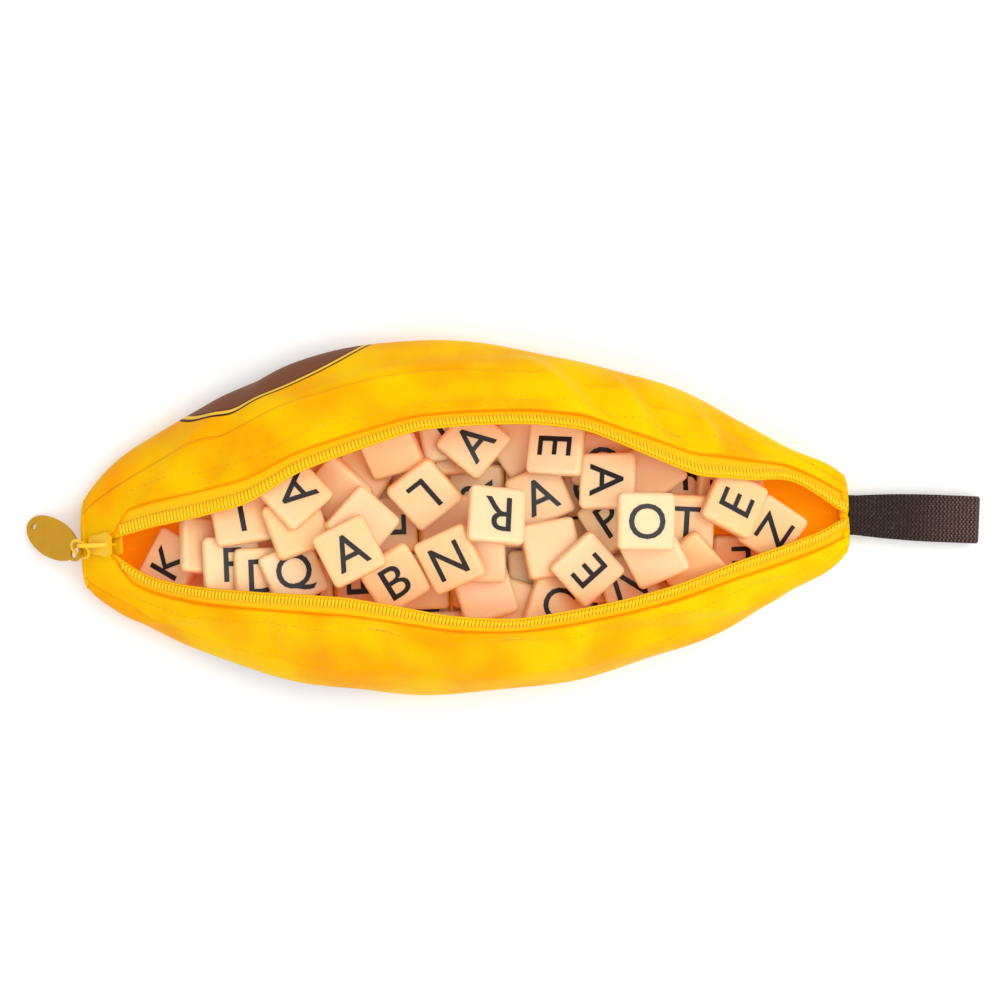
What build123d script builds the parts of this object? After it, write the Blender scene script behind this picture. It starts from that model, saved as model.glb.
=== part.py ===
from build123d import *

import os
from math import asin, cos, pi, radians, sin, sqrt

import numpy as np

# A soft zip pouch, shaped like a banana, that carries the letter tiles of a word game.
# It lies on its flat base with the zip's two ends low and the zip arching up between them.
# All sizes are in millimetres. X runs from tip to tip, Y to the back, Z up; the origin is
# on the underside of the base, halfway between the tips.
#
# The zip's two lips turn about the chord, the straight line that joins the zip's ends.
# Every cross-section is described from that line: a lip is at a radius from the chord and
# at an opening angle from the vertical, so both lips meet over the chord when they close.

# ---------------------------------------------------------------- driving dimensions
HALF_LENGTH = 131.0  # chord's end, at each tip
CHORD_Z = 11.0  # height of the chord above the table
LIP_TIP_RADIUS = 5.0  # lip to chord at the tips
LIP_MID_RADIUS = 55.0  # lip to chord halfway along
TIP_HALF_WIDTH = 12.0  # pouch's half-width at the tips
WIDEST_Z = (12.0, 17.0)  # height of the widest line: at the tips, halfway along
BASE_HALF_LENGTH = 120.0  # where the flat base would come to a point
BASE_END = 116.5  # where it is cut off
BASE_INSET = 0.5  # base panel's edge, inside the side panels'
BASE_SHARE = 0.64  # flat base's half-width over the pouch's
TIP_LIFT = 3.0  # how far the bottom rises at the tips
LIFT_START = 100.0  # where the bottom starts to rise

PANEL_T = 1.5  # fabric with its foam backing
PANEL_END = 129.8  # side panels' ends
FLAP_END = 128.0  # zip panels' ends
CAP_END = 132.0  # outer face of the end caps
SEAM_GAP = 0.3  # between panels that move apart
SEWN_GAP = 0.15  # between panels that stay together

TAPE_T = 0.6
TAPE_WIDTH = 9.0
ZIP_END = 111.0  # where tape and coil stop, clear of the slider at both ends
COIL_W = 2.8
COIL_T = 2.0
MEET_GAP = 0.12  # from the lip line to the coil, so that closed coils don't touch
TAPE_TOP = PANEL_T + 0.05  # the tape lies just under the zip panel
PANEL_EDGE = 5.4  # from the lip line to the zip panel's folded edge

SLIDER_X = 124.0  # slider's centre at either end of its travel
PLATE_T = 1.2
PLATE_GAP_TOP = 0.4  # coil to top plate
PLATE_GAP_LOW = 0.7  # tape to bottom plate
SLIDER_FRONT = 6.0
SLIDER_REAR = -5.0
SHOULDER_HALF = 4.4
POST_W = 1.2  # post that joins the slider's plates, between the two coils
REAR_HALF = 3.3

BAIL_S = -3.2  # bail's hole: behind the slider's centre, and above the zip
BAIL_N = 4.8
BAIL_HOLE_R = 1.7
BAIL_WALL = 1.1
BAIL_T = 1.4
RING_R = 3.6  # to the middle of the wire
RING_WIRE_R = 0.55
RING_ROLL = 14.0  # about the line from the slider's hole to the tag's
TAG_LENGTH = 29.7
TAG_WIDTH = 13.0
TAG_T = 1.0
TAG_HOLE_R = 1.85
TAG_HOLE_EDGE = 1.15  # metal between the ring's hole and the tag's end
TAG_EYE_R = 1.2  # small hole at the tag's far end
TAG_SLOPE = 36.0  # the tag leans down from the ring
TAG_YAW = 30.0  # and a little to the back

LOOP_WIDTH = 16.0
LOOP_T = 1.3
LOOP_REACH = 47.5  # from the end cap to the fold
LOOP_FOLD_R = 4.2  # outer radius of the fold
LOOP_TURN = -4.5  # the loop points slightly to the front
LOOP_Z = 8.6  # where it is sewn to the end cap
LOOP_REST = 0.3  # clearance under the fold
LOOP_GAP = 1.2

TILE = 19.0
TILE_T = 4.8
TILE_CORNER_R = 1.4
TILE_GAP = 0.3  # between tiles, never less
WALL_GAP = 0.6  # between tiles and fabric
LIP_CLEARANCE = 3.0  # between tiles and the path of the closing lips
SLIDER_CLEARANCE = 4.4  # under the slider's path
LOW_Z = 14.0  # under this height only the wall limits the tiles
HIDDEN_COUNT = 78  # tiles under the ones laid by hand
JUMBLED_COUNT = 12  # of these, tiles that lie askew
LAYER_PITCH = 20.0
LAYER_REACH = 90.0  # half-length of the lowest flat layer
LAYER_SHRINK = 8.0  # how much shorter each next layer is
HEAP_SEED = 5
GROUP_NAMES = ("tiles_first_layer", "tiles_second_layer", "tiles_third_layer", "tiles_jumbled", "tiles_top")
LETTER_COUNTS = dict(
    A=12, B=3, C=4, D=6, E=16, F=3, G=4, H=4, I=11, J=2, K=2, L=6, M=4,
    N=8, O=11, P=4, Q=2, R=8, S=7, T=9, U=5, V=2, W=3, X=2, Y=4, Z=2,
)


class Side:
    """One half of the pouch, behind or in front of the chord."""

    def __init__(self, name, sign, opening, half_width, peak_x, seam_share, bulge):
        self.name = name
        self.sign = sign  # +1 behind the chord, -1 in front
        self.opening = opening  # lip's angle from the vertical, in degrees
        self.half_width = half_width
        self.peak_x = peak_x  # where the pouch is widest
        self.seam_share = seam_share  # zip panel's share of the wall above the widest line
        self.bulge = bulge  # (left, right) exponents of the outline


BACK = Side("back", 1, 42.0, 65.5, -12.0, 0.40, ((2.0, 0.85), (1.8, 0.95)))
FRONT = Side("front", -1, 32.5, 55.7, -8.0, 0.48, ((2.0, 0.85), (2.0, 0.83)))

LIP_RISE = LIP_MID_RADIUS - LIP_TIP_RADIUS
LIP_ARC_R = (HALF_LENGTH**2 + LIP_RISE**2) / (2 * LIP_RISE)
LIP_ARC_Z = CHORD_Z + LIP_MID_RADIUS - LIP_ARC_R  # centre of the closed zip's arc


# ---------------------------------------------------------------- the pouch's cross-section
def lip_radius(x):
    """Distance from the chord to the lip, which follows a circular arc."""
    return sqrt(LIP_ARC_R**2 - x**2) - (LIP_ARC_R - LIP_MID_RADIUS)


def half_width(x, side):
    """Half-width of the pouch at x, a rounded lens with its widest place at peak_x."""
    exponent, power = side.bulge[0 if x < side.peak_x else 1]
    reach = HALF_LENGTH - side.peak_x if x > side.peak_x else HALF_LENGTH + side.peak_x
    u = min(abs(x - side.peak_x) / reach, 1.0)
    swell = (1 - u**exponent) ** power
    return TIP_HALF_WIDTH + (side.half_width - TIP_HALF_WIDTH) * swell


def base_half_width(x, side):
    """Half-width of the flat base, which tapers to nothing at each end."""
    u = min(abs(x) / BASE_HALF_LENGTH, 1.0)
    return SEWN_GAP + BASE_SHARE * side.half_width * (1 - u**2) ** 1.3


def bottom_z(x):
    """Height of the pouch's bottom edge, which lifts a little towards the tips."""
    u = max(0.0, (abs(x) - LIFT_START) / (HALF_LENGTH - LIFT_START))
    return TIP_LIFT * u * u


def bezier(points, count):
    """Points of a cubic Bezier curve through a control polygon."""
    t = np.linspace(0, 1, count)[:, None]
    p0, p1, p2, p3 = (np.array(p, float) for p in points)
    return (1 - t) ** 3 * p0 + 3 * t * (1 - t) ** 2 * p1 + 3 * t * t * (1 - t) * p2 + t**3 * p3


class Section:
    """The outer wall of one side at x, from the lip down and round to the base's edge."""

    def __init__(self, x, side):
        turn = radians(side.opening)
        radius = lip_radius(x)
        share = 1 - (x / HALF_LENGTH) ** 2
        lip = np.array([radius * sin(turn), CHORD_Z + radius * cos(turn)])
        wide = np.array([half_width(x, side), WIDEST_Z[0] + (WIDEST_Z[1] - WIDEST_Z[0]) * share])
        reach = np.linalg.norm(wide - lip)
        along_lip = np.array([cos(turn), -sin(turn)])
        upper = bezier(
            [lip, lip + 0.35 * reach * along_lip, wide + (0, 0.4 * reach), wide], 80
        )
        edge, low = base_half_width(x, side), bottom_z(x)
        drop = wide[1] - low
        inward = edge + 0.45 * (wide[0] - edge)
        lower = bezier([wide, wide - (0, 0.6 * drop), (inward, low), (edge, low)], 60)
        self.side = side
        self.path = np.vstack([upper, lower[1:]])
        steps = np.linalg.norm(np.diff(self.path, axis=0), axis=1)
        self.s = np.concatenate([[0], np.cumsum(steps)])
        tangent = np.gradient(self.path, self.s, axis=0)
        tangent /= np.linalg.norm(tangent, axis=1)[:, None]
        self.inward = np.column_stack([tangent[:, 1], -tangent[:, 0]])
        self.widest = self.s[len(upper) - 1]
        self.end = self.s[-1]
        self.seam = PANEL_EDGE + (self.widest - PANEL_EDGE) * side.seam_share

    def line(self, start, stop, depth, count=9):
        """Points at a depth under the outer wall, from one arc length to another."""
        s = np.linspace(start, stop, count)
        y, z = (np.interp(s, self.s, self.path[:, i]) for i in (0, 1))
        ny, nz = (np.interp(s, self.s, self.inward[:, i]) for i in (0, 1))
        return [((a + depth * b) * self.side.sign, c + depth * d) for a, b, c, d in zip(y, ny, z, nz)]


def strip(label, side, stations, limits, top, low):
    """A curved strip of the wall: a loft through its cross-sections.

    limits gives the strip's two edges, as arc lengths, at a section; top and low are the
    depths of its faces under the pouch's outer wall.
    """
    with BuildPart() as made:
        for x in stations:
            section = Section(x, side)
            start, stop = limits(section)
            with BuildSketch(Plane.YZ.offset(x)):
                with BuildLine():
                    outer = Spline(*section.line(start, stop, top))
                    inner = Spline(*section.line(start, stop, low))
                    Line(outer @ 0, inner @ 0)
                    Line(outer @ 1, inner @ 1)
                make_face()
        loft()
    made.part.label = label
    return made.part


def spread(end, count):
    """Stations from -end to end, closer together towards the tips."""
    return [end * sin(pi / 2 * t) for t in np.linspace(-1, 1, count)]


os.makedirs("parts", exist_ok=True)
nodes = []

# ---------------------------------------------------------------- pouch wall
for side in (BACK, FRONT):
    nodes.append(
        strip(
            f"{side.name}_zip_panel",
            side,
            spread(FLAP_END, 13),
            lambda section: (PANEL_EDGE, section.seam - SEAM_GAP),
            0,
            PANEL_T,
        )
    )
    nodes.append(
        strip(
            f"{side.name}_side_panel",
            side,
            spread(PANEL_END, 21),
            lambda section: (section.seam, section.end - SEWN_GAP),
            0,
            PANEL_T,
        )
    )
    nodes.append(
        strip(
            f"{side.name}_zip_tape",
            side,
            spread(ZIP_END, 11),
            lambda section: (MEET_GAP, TAPE_WIDTH),
            TAPE_TOP,
            TAPE_TOP + TAPE_T,
        )
    )
    nodes.append(
        strip(
            f"{side.name}_zip_coil",
            side,
            spread(ZIP_END, 11),
            lambda section: (MEET_GAP, MEET_GAP + COIL_W),
            TAPE_TOP - COIL_T,
            TAPE_TOP - 0.02,
        )
    )



def base_edges(x):
    """Back and front edges of the base panel at x."""
    return base_half_width(x, BACK) - BASE_INSET, BASE_INSET - base_half_width(x, FRONT)


with BuildPart() as base_panel:
    with BuildSketch():
        with BuildLine():
            xs = [LIFT_START * t for t in np.linspace(-1, 1, 15)]
            back_edge = Spline(*[(x, base_edges(x)[0]) for x in xs])
            front_edge = Spline(*[(x, base_edges(x)[1]) for x in xs])
            Line(back_edge @ 0, front_edge @ 0)
            Line(back_edge @ 1, front_edge @ 1)
        make_face()
    extrude(amount=PANEL_T)
    for end in (-1, 1):
        for x in np.linspace(LIFT_START, BASE_END, 5):
            back_y, front_y = base_edges(x)
            with BuildSketch(Plane.YZ.offset(end * x)):
                with Locations(((back_y + front_y) / 2, bottom_z(x) + PANEL_T / 2)):
                    Rectangle(back_y - front_y, PANEL_T)
        loft(ruled=True)
base_panel.part.label = "base_panel"
nodes.append(base_panel.part)

for name, end in (("left_end_cap", -1), ("right_end_cap", 1)):
    rims = [Section(end * PANEL_END, side) for side in (BACK, FRONT)]
    with BuildPart() as cap:
        with BuildSketch(Plane.YZ.offset(end * (PANEL_END + SEWN_GAP))):
            with BuildLine():
                back_rim = Spline(*rims[0].line(rims[0].seam, rims[0].end, 0))
                front_rim = Spline(*rims[1].line(rims[1].seam, rims[1].end, 0))
                Line(back_rim @ 0, front_rim @ 0)
                Line(back_rim @ 1, front_rim @ 1)
            make_face()
        extrude(amount=end * (CAP_END - PANEL_END - SEWN_GAP))
    cap.part.label = name
    nodes.append(cap.part)

# ---------------------------------------------------------------- slider, ring and tag
# The slider is drawn across the closed zip: S runs along the zip, N out of it, Y across.
slider_turn = asin(-SLIDER_X / LIP_ARC_R)
along = Vector(cos(slider_turn), 0, -sin(slider_turn))
out = Vector(sin(slider_turn), 0, cos(slider_turn))
slider_centre = Vector(0, 0, LIP_ARC_Z) + out * LIP_ARC_R
slider_plate = Plane(origin=slider_centre, x_dir=along, z_dir=out)
slider_side = Plane(origin=slider_centre, x_dir=along, z_dir=(0, -1, 0))
top_low = COIL_T - TAPE_TOP + PLATE_GAP_TOP
bottom_high = -(TAPE_TOP + TAPE_T + PLATE_GAP_LOW)

with BuildPart() as slider_body:
    for low in (top_low, bottom_high - PLATE_T):
        with BuildSketch(slider_plate.offset(low)):
            with BuildLine():
                shoulder = (SLIDER_FRONT - 1.8, SHOULDER_HALF)
                tail = (SLIDER_REAR + REAR_HALF, REAR_HALF)
                Polyline(tail, (0.5, REAR_HALF + 0.2), shoulder, (SLIDER_FRONT, SHOULDER_HALF - 1.4))
                Line((SLIDER_FRONT, SHOULDER_HALF - 1.4), (SLIDER_FRONT, 0))
                ThreePointArc(tail, (SLIDER_REAR + 0.97, REAR_HALF * 0.707), (SLIDER_REAR, 0))
                mirror(about=Plane.XZ)
            make_face()
        extrude(amount=PLATE_T)
    with BuildSketch(slider_plate.offset(bottom_high - PLATE_T / 2)):
        with Locations((2.25, 0)):
            SlotOverall(2.9, POST_W)
    extrude(amount=top_low - bottom_high + PLATE_T)
    with BuildSketch(slider_side):
        with Locations((BAIL_S, BAIL_N)):
            Circle(BAIL_HOLE_R + BAIL_WALL)
        with BuildLine():
            foot = top_low + PLATE_T / 2
            Polyline(
                (BAIL_S - 1.2, foot),
                (BAIL_S - BAIL_HOLE_R - BAIL_WALL + 0.2, BAIL_N - 1.0),
                (BAIL_S + 1.0, BAIL_N + BAIL_HOLE_R + BAIL_WALL - 0.2),
                (BAIL_S + 3.4, BAIL_N + 1.2),
                (SLIDER_FRONT - 0.8, foot),
                close=True,
            )
        make_face()
        with Locations((BAIL_S, BAIL_N)):
            Circle(BAIL_HOLE_R, mode=Mode.SUBTRACT)
    extrude(amount=BAIL_T / 2, both=True)
slider_body.part.label = "slider_body"
nodes.append(slider_body.part)

bail_hole = slider_centre + along * BAIL_S + out * BAIL_N
link_way = Vector(-0.611, -0.333, -0.72).normalized()
level = Vector(-link_way.Y, link_way.X, 0).normalized() * -1
ring_across = level * cos(radians(RING_ROLL)) - link_way.cross(level) * sin(radians(RING_ROLL))
ring_centre = bail_hole + link_way * RING_R
with BuildPart() as pull_ring:
    with Locations(Plane(origin=ring_centre, x_dir=link_way, z_dir=link_way.cross(ring_across))):
        Torus(RING_R, RING_WIRE_R)
pull_ring.part.label = "pull_ring"
nodes.append(pull_ring.part)

tag_hole = bail_hole + link_way * (2 * RING_R)
slope, yaw = radians(TAG_SLOPE), radians(TAG_YAW)
tag_way = Vector(-cos(slope) * cos(yaw), cos(slope) * sin(yaw), -sin(slope))
tag_face = Vector(-sin(slope) * cos(yaw), sin(slope) * sin(yaw), cos(slope))
with BuildPart() as pull_tag:
    with BuildSketch(Plane(origin=tag_hole, x_dir=tag_way, z_dir=tag_face)):
        near = -(TAG_HOLE_R + TAG_HOLE_EDGE)
        with Locations((near + TAG_LENGTH / 2 + 1.2, 0)):
            Ellipse(TAG_LENGTH / 2 - 1.2, TAG_WIDTH / 2)
        Circle(TAG_HOLE_R + TAG_HOLE_EDGE)
        with Locations((near + TAG_LENGTH / 4, 0)):
            Rectangle(5, 5.8)
        Circle(TAG_HOLE_R, mode=Mode.SUBTRACT)
        with Locations((near + TAG_LENGTH - 3.2, 0)):
            Circle(TAG_EYE_R, mode=Mode.SUBTRACT)
    extrude(amount=TAG_T / 2, both=True)
pull_tag.part.label = "pull_tag"
nodes.append(pull_tag.part)

# ---------------------------------------------------------------- hang loop
with BuildPart() as hang_loop_stub:
    with BuildSketch(Plane.YZ.offset(CAP_END + SEWN_GAP)):
        with Locations((0, LOOP_Z)):
            RectangleRounded(LOOP_WIDTH, 2 * LOOP_T + 0.6, 0.5)
    extrude(amount=1.0)
hang_loop_stub.part.label = "hang_loop_stub"
nodes.append(hang_loop_stub.part)

loop_root_r = LOOP_T + 0.1
loop_x = CAP_END + SEWN_GAP + 1.0 + LOOP_GAP + loop_root_r
loop_far = LOOP_REACH - LOOP_FOLD_R - (loop_x - CAP_END)
loop_drop = asin((LOOP_Z - LOOP_FOLD_R - LOOP_REST) / loop_far)
loop_way = Vector(cos(radians(LOOP_TURN)), sin(radians(LOOP_TURN)), 0)
loop_side = Plane(
    origin=(loop_x, 0, LOOP_Z),
    x_dir=loop_way * cos(loop_drop) - Vector(0, 0, sin(loop_drop)),
    z_dir=loop_way.cross(Vector(0, 0, 1)),
)
with BuildPart() as hang_loop:
    with BuildSketch(loop_side):
        with BuildLine():
            fold = ThreePointArc(
                (loop_far, LOOP_FOLD_R),
                (loop_far + LOOP_FOLD_R, 0),
                (loop_far, -LOOP_FOLD_R),
            )
            for sign, end in ((1, 0), (-1, 1)):
                Spline(
                    (0, sign * loop_root_r),
                    (loop_far * 0.5, sign * (loop_root_r + 0.7)),
                    fold @ end,
                    tangents=[(1, 0), (1, 0)],
                )
            ThreePointArc((0, loop_root_r), (-loop_root_r, 0), (0, -loop_root_r))
        make_face()
        with BuildLine():
            inner_r = LOOP_FOLD_R - LOOP_T
            inner_fold = ThreePointArc(
                (loop_far, inner_r),
                (loop_far + inner_r, 0),
                (loop_far, -inner_r),
            )
            for sign, end in ((1, 0), (-1, 1)):
                Spline(
                    (6, sign * 0.1),
                    (loop_far * 0.5, sign * (loop_root_r + 0.7 - LOOP_T)),
                    inner_fold @ end,
                    tangents=[(1, 0), (1, 0)],
                )
            Line((6, 0.1), (6, -0.1))
        make_face(mode=Mode.SUBTRACT)
    extrude(amount=LOOP_WIDTH / 2, both=True)
hang_loop.part.label = "hang_loop"
nodes.append(hang_loop.part)

# ---------------------------------------------------------------- heap of tiles
class Cavity:
    """The room inside the pouch, sampled along its length."""

    STEP = 2.0

    def __init__(self):
        depth = PANEL_T + WALL_GAP
        self.stations = np.arange(-PANEL_END + 4, PANEL_END - 4, self.STEP)
        self.across = np.linspace(0, 70, 71)
        self.floor = {}
        for side in (BACK, FRONT):
            rows = []
            for x in self.stations:
                section = Section(x, side)
                line = section.line(section.widest, section.end, depth, 40)
                y = np.array([abs(p[0]) for p in line])[::-1]
                z = np.array([p[1] for p in line])[::-1]
                row = np.interp(self.across, y, z)
                row[self.across > y[-1]] = 999.0
                rows.append(row)
            self.floor[side.sign] = np.array(rows)

    def floor_under(self, x, y):
        """Lowest height a tile's corner may have at (x, y)."""
        table = self.floor[1 if y >= 0 else -1]
        i = min(max((x - self.stations[0]) / self.STEP, 0), len(self.stations) - 1.001)
        j = min(abs(y), 69.0)
        low, near = int(i), int(j)
        if abs(x) > PANEL_END - 6:
            return 999.0
        u, v = i - low, j - near
        rows = table[low] * (1 - u) + table[low + 1] * u
        return rows[near] * (1 - v) + rows[near + 1] * v

    @staticmethod
    def under_lips(x, y, z):
        """Whether a corner at (x, y, z) stays out of the way of the closing lips."""
        if z < LOW_Z or abs(x) > HALF_LENGTH:
            return True
        clearance = SLIDER_CLEARANCE if abs(y) < SHOULDER_HALF + 2 else LIP_CLEARANCE
        return sqrt(y * y + (z - CHORD_Z) ** 2) < lip_radius(x) - clearance


class Heap:
    """Tiles let down one by one, each to the height where it first touches something."""

    CORNERS = np.array([[i, j, k] for i in (-1, 1) for j in (-1, 1) for k in (-1, 1)])
    HALF = np.array([TILE, TILE, TILE_T]) / 2 + TILE_GAP / 2

    def __init__(self, cavity):
        self.cavity = cavity
        self.centres = np.zeros((0, 3))
        self.axes = np.zeros((0, 3, 3))
        self.letters = []

    @staticmethod
    def attitude(turn, lean, way):
        """Tile's axes: reading direction, upward direction of the letter, and face."""
        turn, lean, way = radians(turn), radians(lean), radians(way)
        face = np.array([sin(lean) * cos(way), sin(lean) * sin(way), cos(lean)])
        reading = np.array([cos(turn), sin(turn), 0.0])
        reading -= face * (reading @ face)
        reading /= np.linalg.norm(reading)
        return np.array([reading, np.cross(face, reading), face])

    def landing(self, x, y, axes):
        """Height of the tile's centre where it comes to rest, let down at (x, y)."""
        corners = (self.CORNERS * self.HALF) @ axes
        rest = max(self.cavity.floor_under(x + c[0], y + c[1]) - c[2] for c in corners)
        if len(self.centres):
            near = np.hypot(self.centres[:, 0] - x, self.centres[:, 1] - y) < 29.0
            other = self.axes[near]
            own = np.broadcast_to(axes, other.shape)
            crossed = np.cross(own[:, :, None, :], other[:, None, :, :]).reshape(-1, 9, 3)
            normals = np.concatenate([own, other, crossed], axis=1)
            reach = np.abs(normals @ own.transpose(0, 2, 1)) @ self.HALF
            reach += np.abs(normals @ other.transpose(0, 2, 1)) @ self.HALF
            apart = np.array([x, y, 0.0]) - self.centres[near]
            offset = np.einsum("nkj,nj->nk", normals, apart)
            rise = normals[:, :, 2]
            rise = np.where(np.abs(rise) < 1e-6, 1e-6, rise)
            reach = np.where(np.linalg.norm(normals, axis=2) < 1e-9, 1e9, reach)
            one, two = (-reach - offset) / rise, (reach - offset) / rise
            low = np.minimum(one, two).max(axis=1)
            high = np.maximum(one, two).min(axis=1)
            if np.any(low < high):
                rest = max(rest, high[low < high].max())
        return rest

    def clear(self, x, y, z, axes):
        """Whether all the tile's corners are under the lips."""
        corners = (self.CORNERS * self.HALF) @ axes + (x, y, z)
        return all(self.cavity.under_lips(*c) for c in corners)

    def settle(self, letter, tries):
        """Put a tile down in whichever of the (x, y, axes) tries comes to rest lowest."""
        best = None
        for x, y, axes in tries:
            z = self.landing(x, y, axes)
            if (best is None or z < best[0]) and self.clear(x, y, z, axes):
                best = (z, x, y, axes)
        if best is None:
            return False
        z, x, y, axes = best
        self.centres = np.vstack([self.centres, [[x, y, z]]])
        self.axes = np.concatenate([self.axes, [axes]])
        self.letters.append(letter)
        return True


# Tiles of the heap's top, in the order they were laid: letter, position, direction of
# reading, then the lean and its direction where the tile stands steeply.
TOP_TILES = [
    ("V", -5, 34, 10),
    ("H", 64, 18, 35),
    ("G", 13, -26, 70),
    ("Z", 106, -5, 55),
    ("T", 75, 0, -5),
    ("E", 95, 6, 60, 20, 20),
    ("N", 55, -19, 15),
    ("C", 30, -26, -20),
    ("W", 6, -21, 15),
    ("S", 4, -8, 0, 20, 250),
    ("P", 50, 2, 30, 30, 170),
    ("Y", 76, -15, 40),
    ("A", 49, 15, -91),
    ("J", 63, -10, 25),
    ("K", -101, -7, 60, 25, 150),
    ("O", -92, -2, 80, 40, 20),
    ("I", -82, -11, 0),
    ("I", -75, 8, 10),
    ("D", -70, -11, 0),
    ("S", -43, 15, 45, 20, 220),
    ("X", -24, 29, 20, 30, 250),
    ("Q", -58, -12, 112),
    ("M", -56, 4, 20),
    ("A", -56, 15, 130),
    ("F", -34, 4, 45),
    ("B", -24, -15, 28),
    ("N", -5, -9, 24),
    ("A", 26, 11, 22),
    ("T", 29, -7, 10),
    ("O", 63, 4, -3),
    ("A", 4, 30, 48),
    ("A", -38, -5, 25),
    ("E", 32, 27, -95),
]
# The last ones lie free on top of all the others.
LOOSE_TILES = [("R", 11, 5, 175), ("E", 45, -10, 130), ("L", -13, 13, -141)]

heap = Heap(Cavity())
chance = np.random.default_rng(HEAP_SEED)
remaining = dict(LETTER_COUNTS)
for laid in TOP_TILES + LOOSE_TILES:
    remaining[laid[0]] -= 1
hidden = [letter for letter, count in remaining.items() for _ in range(count)]
chance.shuffle(hidden)
hidden = hidden[-HIDDEN_COUNT:]

# Flat layers at the bottom, as the tiles lie after the pouch has been shaken down.
layer = 0
group_starts = []
while len(hidden) > JUMBLED_COUNT:
    group_starts.append(len(heap.letters))
    layer_top = PANEL_T + WALL_GAP + (layer + 1) * (TILE_T + TILE_GAP)
    for row in range(-4, 5):
        for column in range(-7, 8):
            stagger = 0.5 * ((row + layer) % 2)
            x = (column + stagger) * LAYER_PITCH + chance.uniform(-0.3, 0.3) - 6
            y = (row + 0.5 * (layer % 2)) * LAYER_PITCH + 3
            if abs(x) > LAYER_REACH - LAYER_SHRINK * layer:
                continue
            turn = chance.uniform(-1.5, 1.5) + 90 * layer
            axes = Heap.attitude(turn, chance.uniform(0, 1), chance.uniform(0, 360))
            level_here = heap.landing(x, y, axes) < layer_top - TILE_T / 2 + 1
            if level_here and len(hidden) > JUMBLED_COUNT and heap.settle(hidden[-1], [(x, y, axes)]):
                hidden.pop()
    layer += 1

# A jumble over them, each tile in the lowest of many random places.
group_starts.append(len(heap.letters))
for letter in hidden:
    tries = []
    for _ in range(60):
        x = chance.uniform(-95, 95)
        y = chance.uniform(-30, 36) * (1 - (x / HALF_LENGTH) ** 2)
        turn, lean, way = chance.uniform(0, 360), chance.uniform(4, 22), chance.uniform(0, 360)
        tries.append((x, y, Heap.attitude(turn, lean, way)))
    heap.settle(letter, tries)

# Then the top ones, each leaning as it needs to rest low, shifted a little if it must be.
group_starts.append(len(heap.letters))
leans = [(lean, way) for lean in range(0, 21, 4) for way in range(0, 360, 45)]
around = [(cos(radians(way)), sin(radians(way))) for way in range(0, 360, 45)]
for letter, x, y, turn, *stand in TOP_TILES + LOOSE_TILES:
    attitudes = [Heap.attitude(turn, *lean) for lean in ([stand] if stand else leans)]
    for shift in (0, 2, 4, 6):
        spots = [(x + shift * a, y + shift * b) for a, b in (around if shift else around[:1])]
        if heap.settle(letter, [(*spot, axes) for axes in attitudes for spot in spots]):
            break
    else:
        raise ValueError(f"no room for the tile {letter} at {x}, {y}")

with BuildPart() as tile:
    with BuildSketch():
        RectangleRounded(TILE, TILE, TILE_CORNER_R)
    extrude(amount=TILE_T / 2, both=True)


def tile_group(label, members):
    """Tiles of the heap, by their numbers, as one part of separate solids."""
    planes = [
        Plane(origin=tuple(heap.centres[i]), x_dir=tuple(heap.axes[i, 0]), z_dir=tuple(heap.axes[i, 2]))
        for i in members
    ]
    with BuildPart() as group:
        with Locations(*planes):
            add(tile.part)
    group.part.label = label
    return group.part


first_loose = len(heap.letters) - len(LOOSE_TILES)
for label, start, stop in zip(GROUP_NAMES, group_starts, [*group_starts[1:], first_loose]):
    nodes.append(tile_group(label, range(start, stop)))
for number in range(len(LOOSE_TILES)):
    nodes.append(tile_group(f"loose_tile_{number + 1}", [first_loose + number]))

for part in nodes:
    export_step(part, f"parts/{part.label}.step")
    print(part.label, len(part.solids()), round(part.volume / 1000, 2), part.is_valid)
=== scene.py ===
"""Looks for a soft zip pouch that carries the letter tiles of a word game.

The pouch lies on its flat base with both ends of its zip low and the lips arching up
between them. Every cloth surface is worked out from one description of its cross-section,
the class Wall, so the cloth, the zip and the stitches all lie on the same shape.
"""

import logging
from dataclasses import dataclass, field
from enum import Enum

import bpy
import numpy as np
from mathutils import Matrix


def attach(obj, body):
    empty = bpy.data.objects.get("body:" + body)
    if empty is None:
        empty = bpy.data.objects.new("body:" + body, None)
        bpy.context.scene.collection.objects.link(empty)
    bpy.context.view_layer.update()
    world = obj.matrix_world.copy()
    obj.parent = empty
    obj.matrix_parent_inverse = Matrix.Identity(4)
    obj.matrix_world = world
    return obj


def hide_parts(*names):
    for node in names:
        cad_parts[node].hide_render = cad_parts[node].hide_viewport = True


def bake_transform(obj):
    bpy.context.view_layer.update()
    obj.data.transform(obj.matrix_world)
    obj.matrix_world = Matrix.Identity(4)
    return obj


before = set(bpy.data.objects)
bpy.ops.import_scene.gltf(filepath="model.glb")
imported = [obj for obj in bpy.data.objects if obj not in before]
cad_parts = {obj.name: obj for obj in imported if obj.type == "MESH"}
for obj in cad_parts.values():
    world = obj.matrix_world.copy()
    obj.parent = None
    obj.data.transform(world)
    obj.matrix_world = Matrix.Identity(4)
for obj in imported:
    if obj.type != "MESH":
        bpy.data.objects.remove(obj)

log = logging.getLogger("pouch")
MM = 0.001
Triple = tuple[float, float, float]
MAP_MM = 100.0  # millimetres of cloth in one unit of a piece's map


class Face(Enum):
    """Which side of a tile shows its letter."""

    UP = 1
    DOWN = -1


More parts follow.
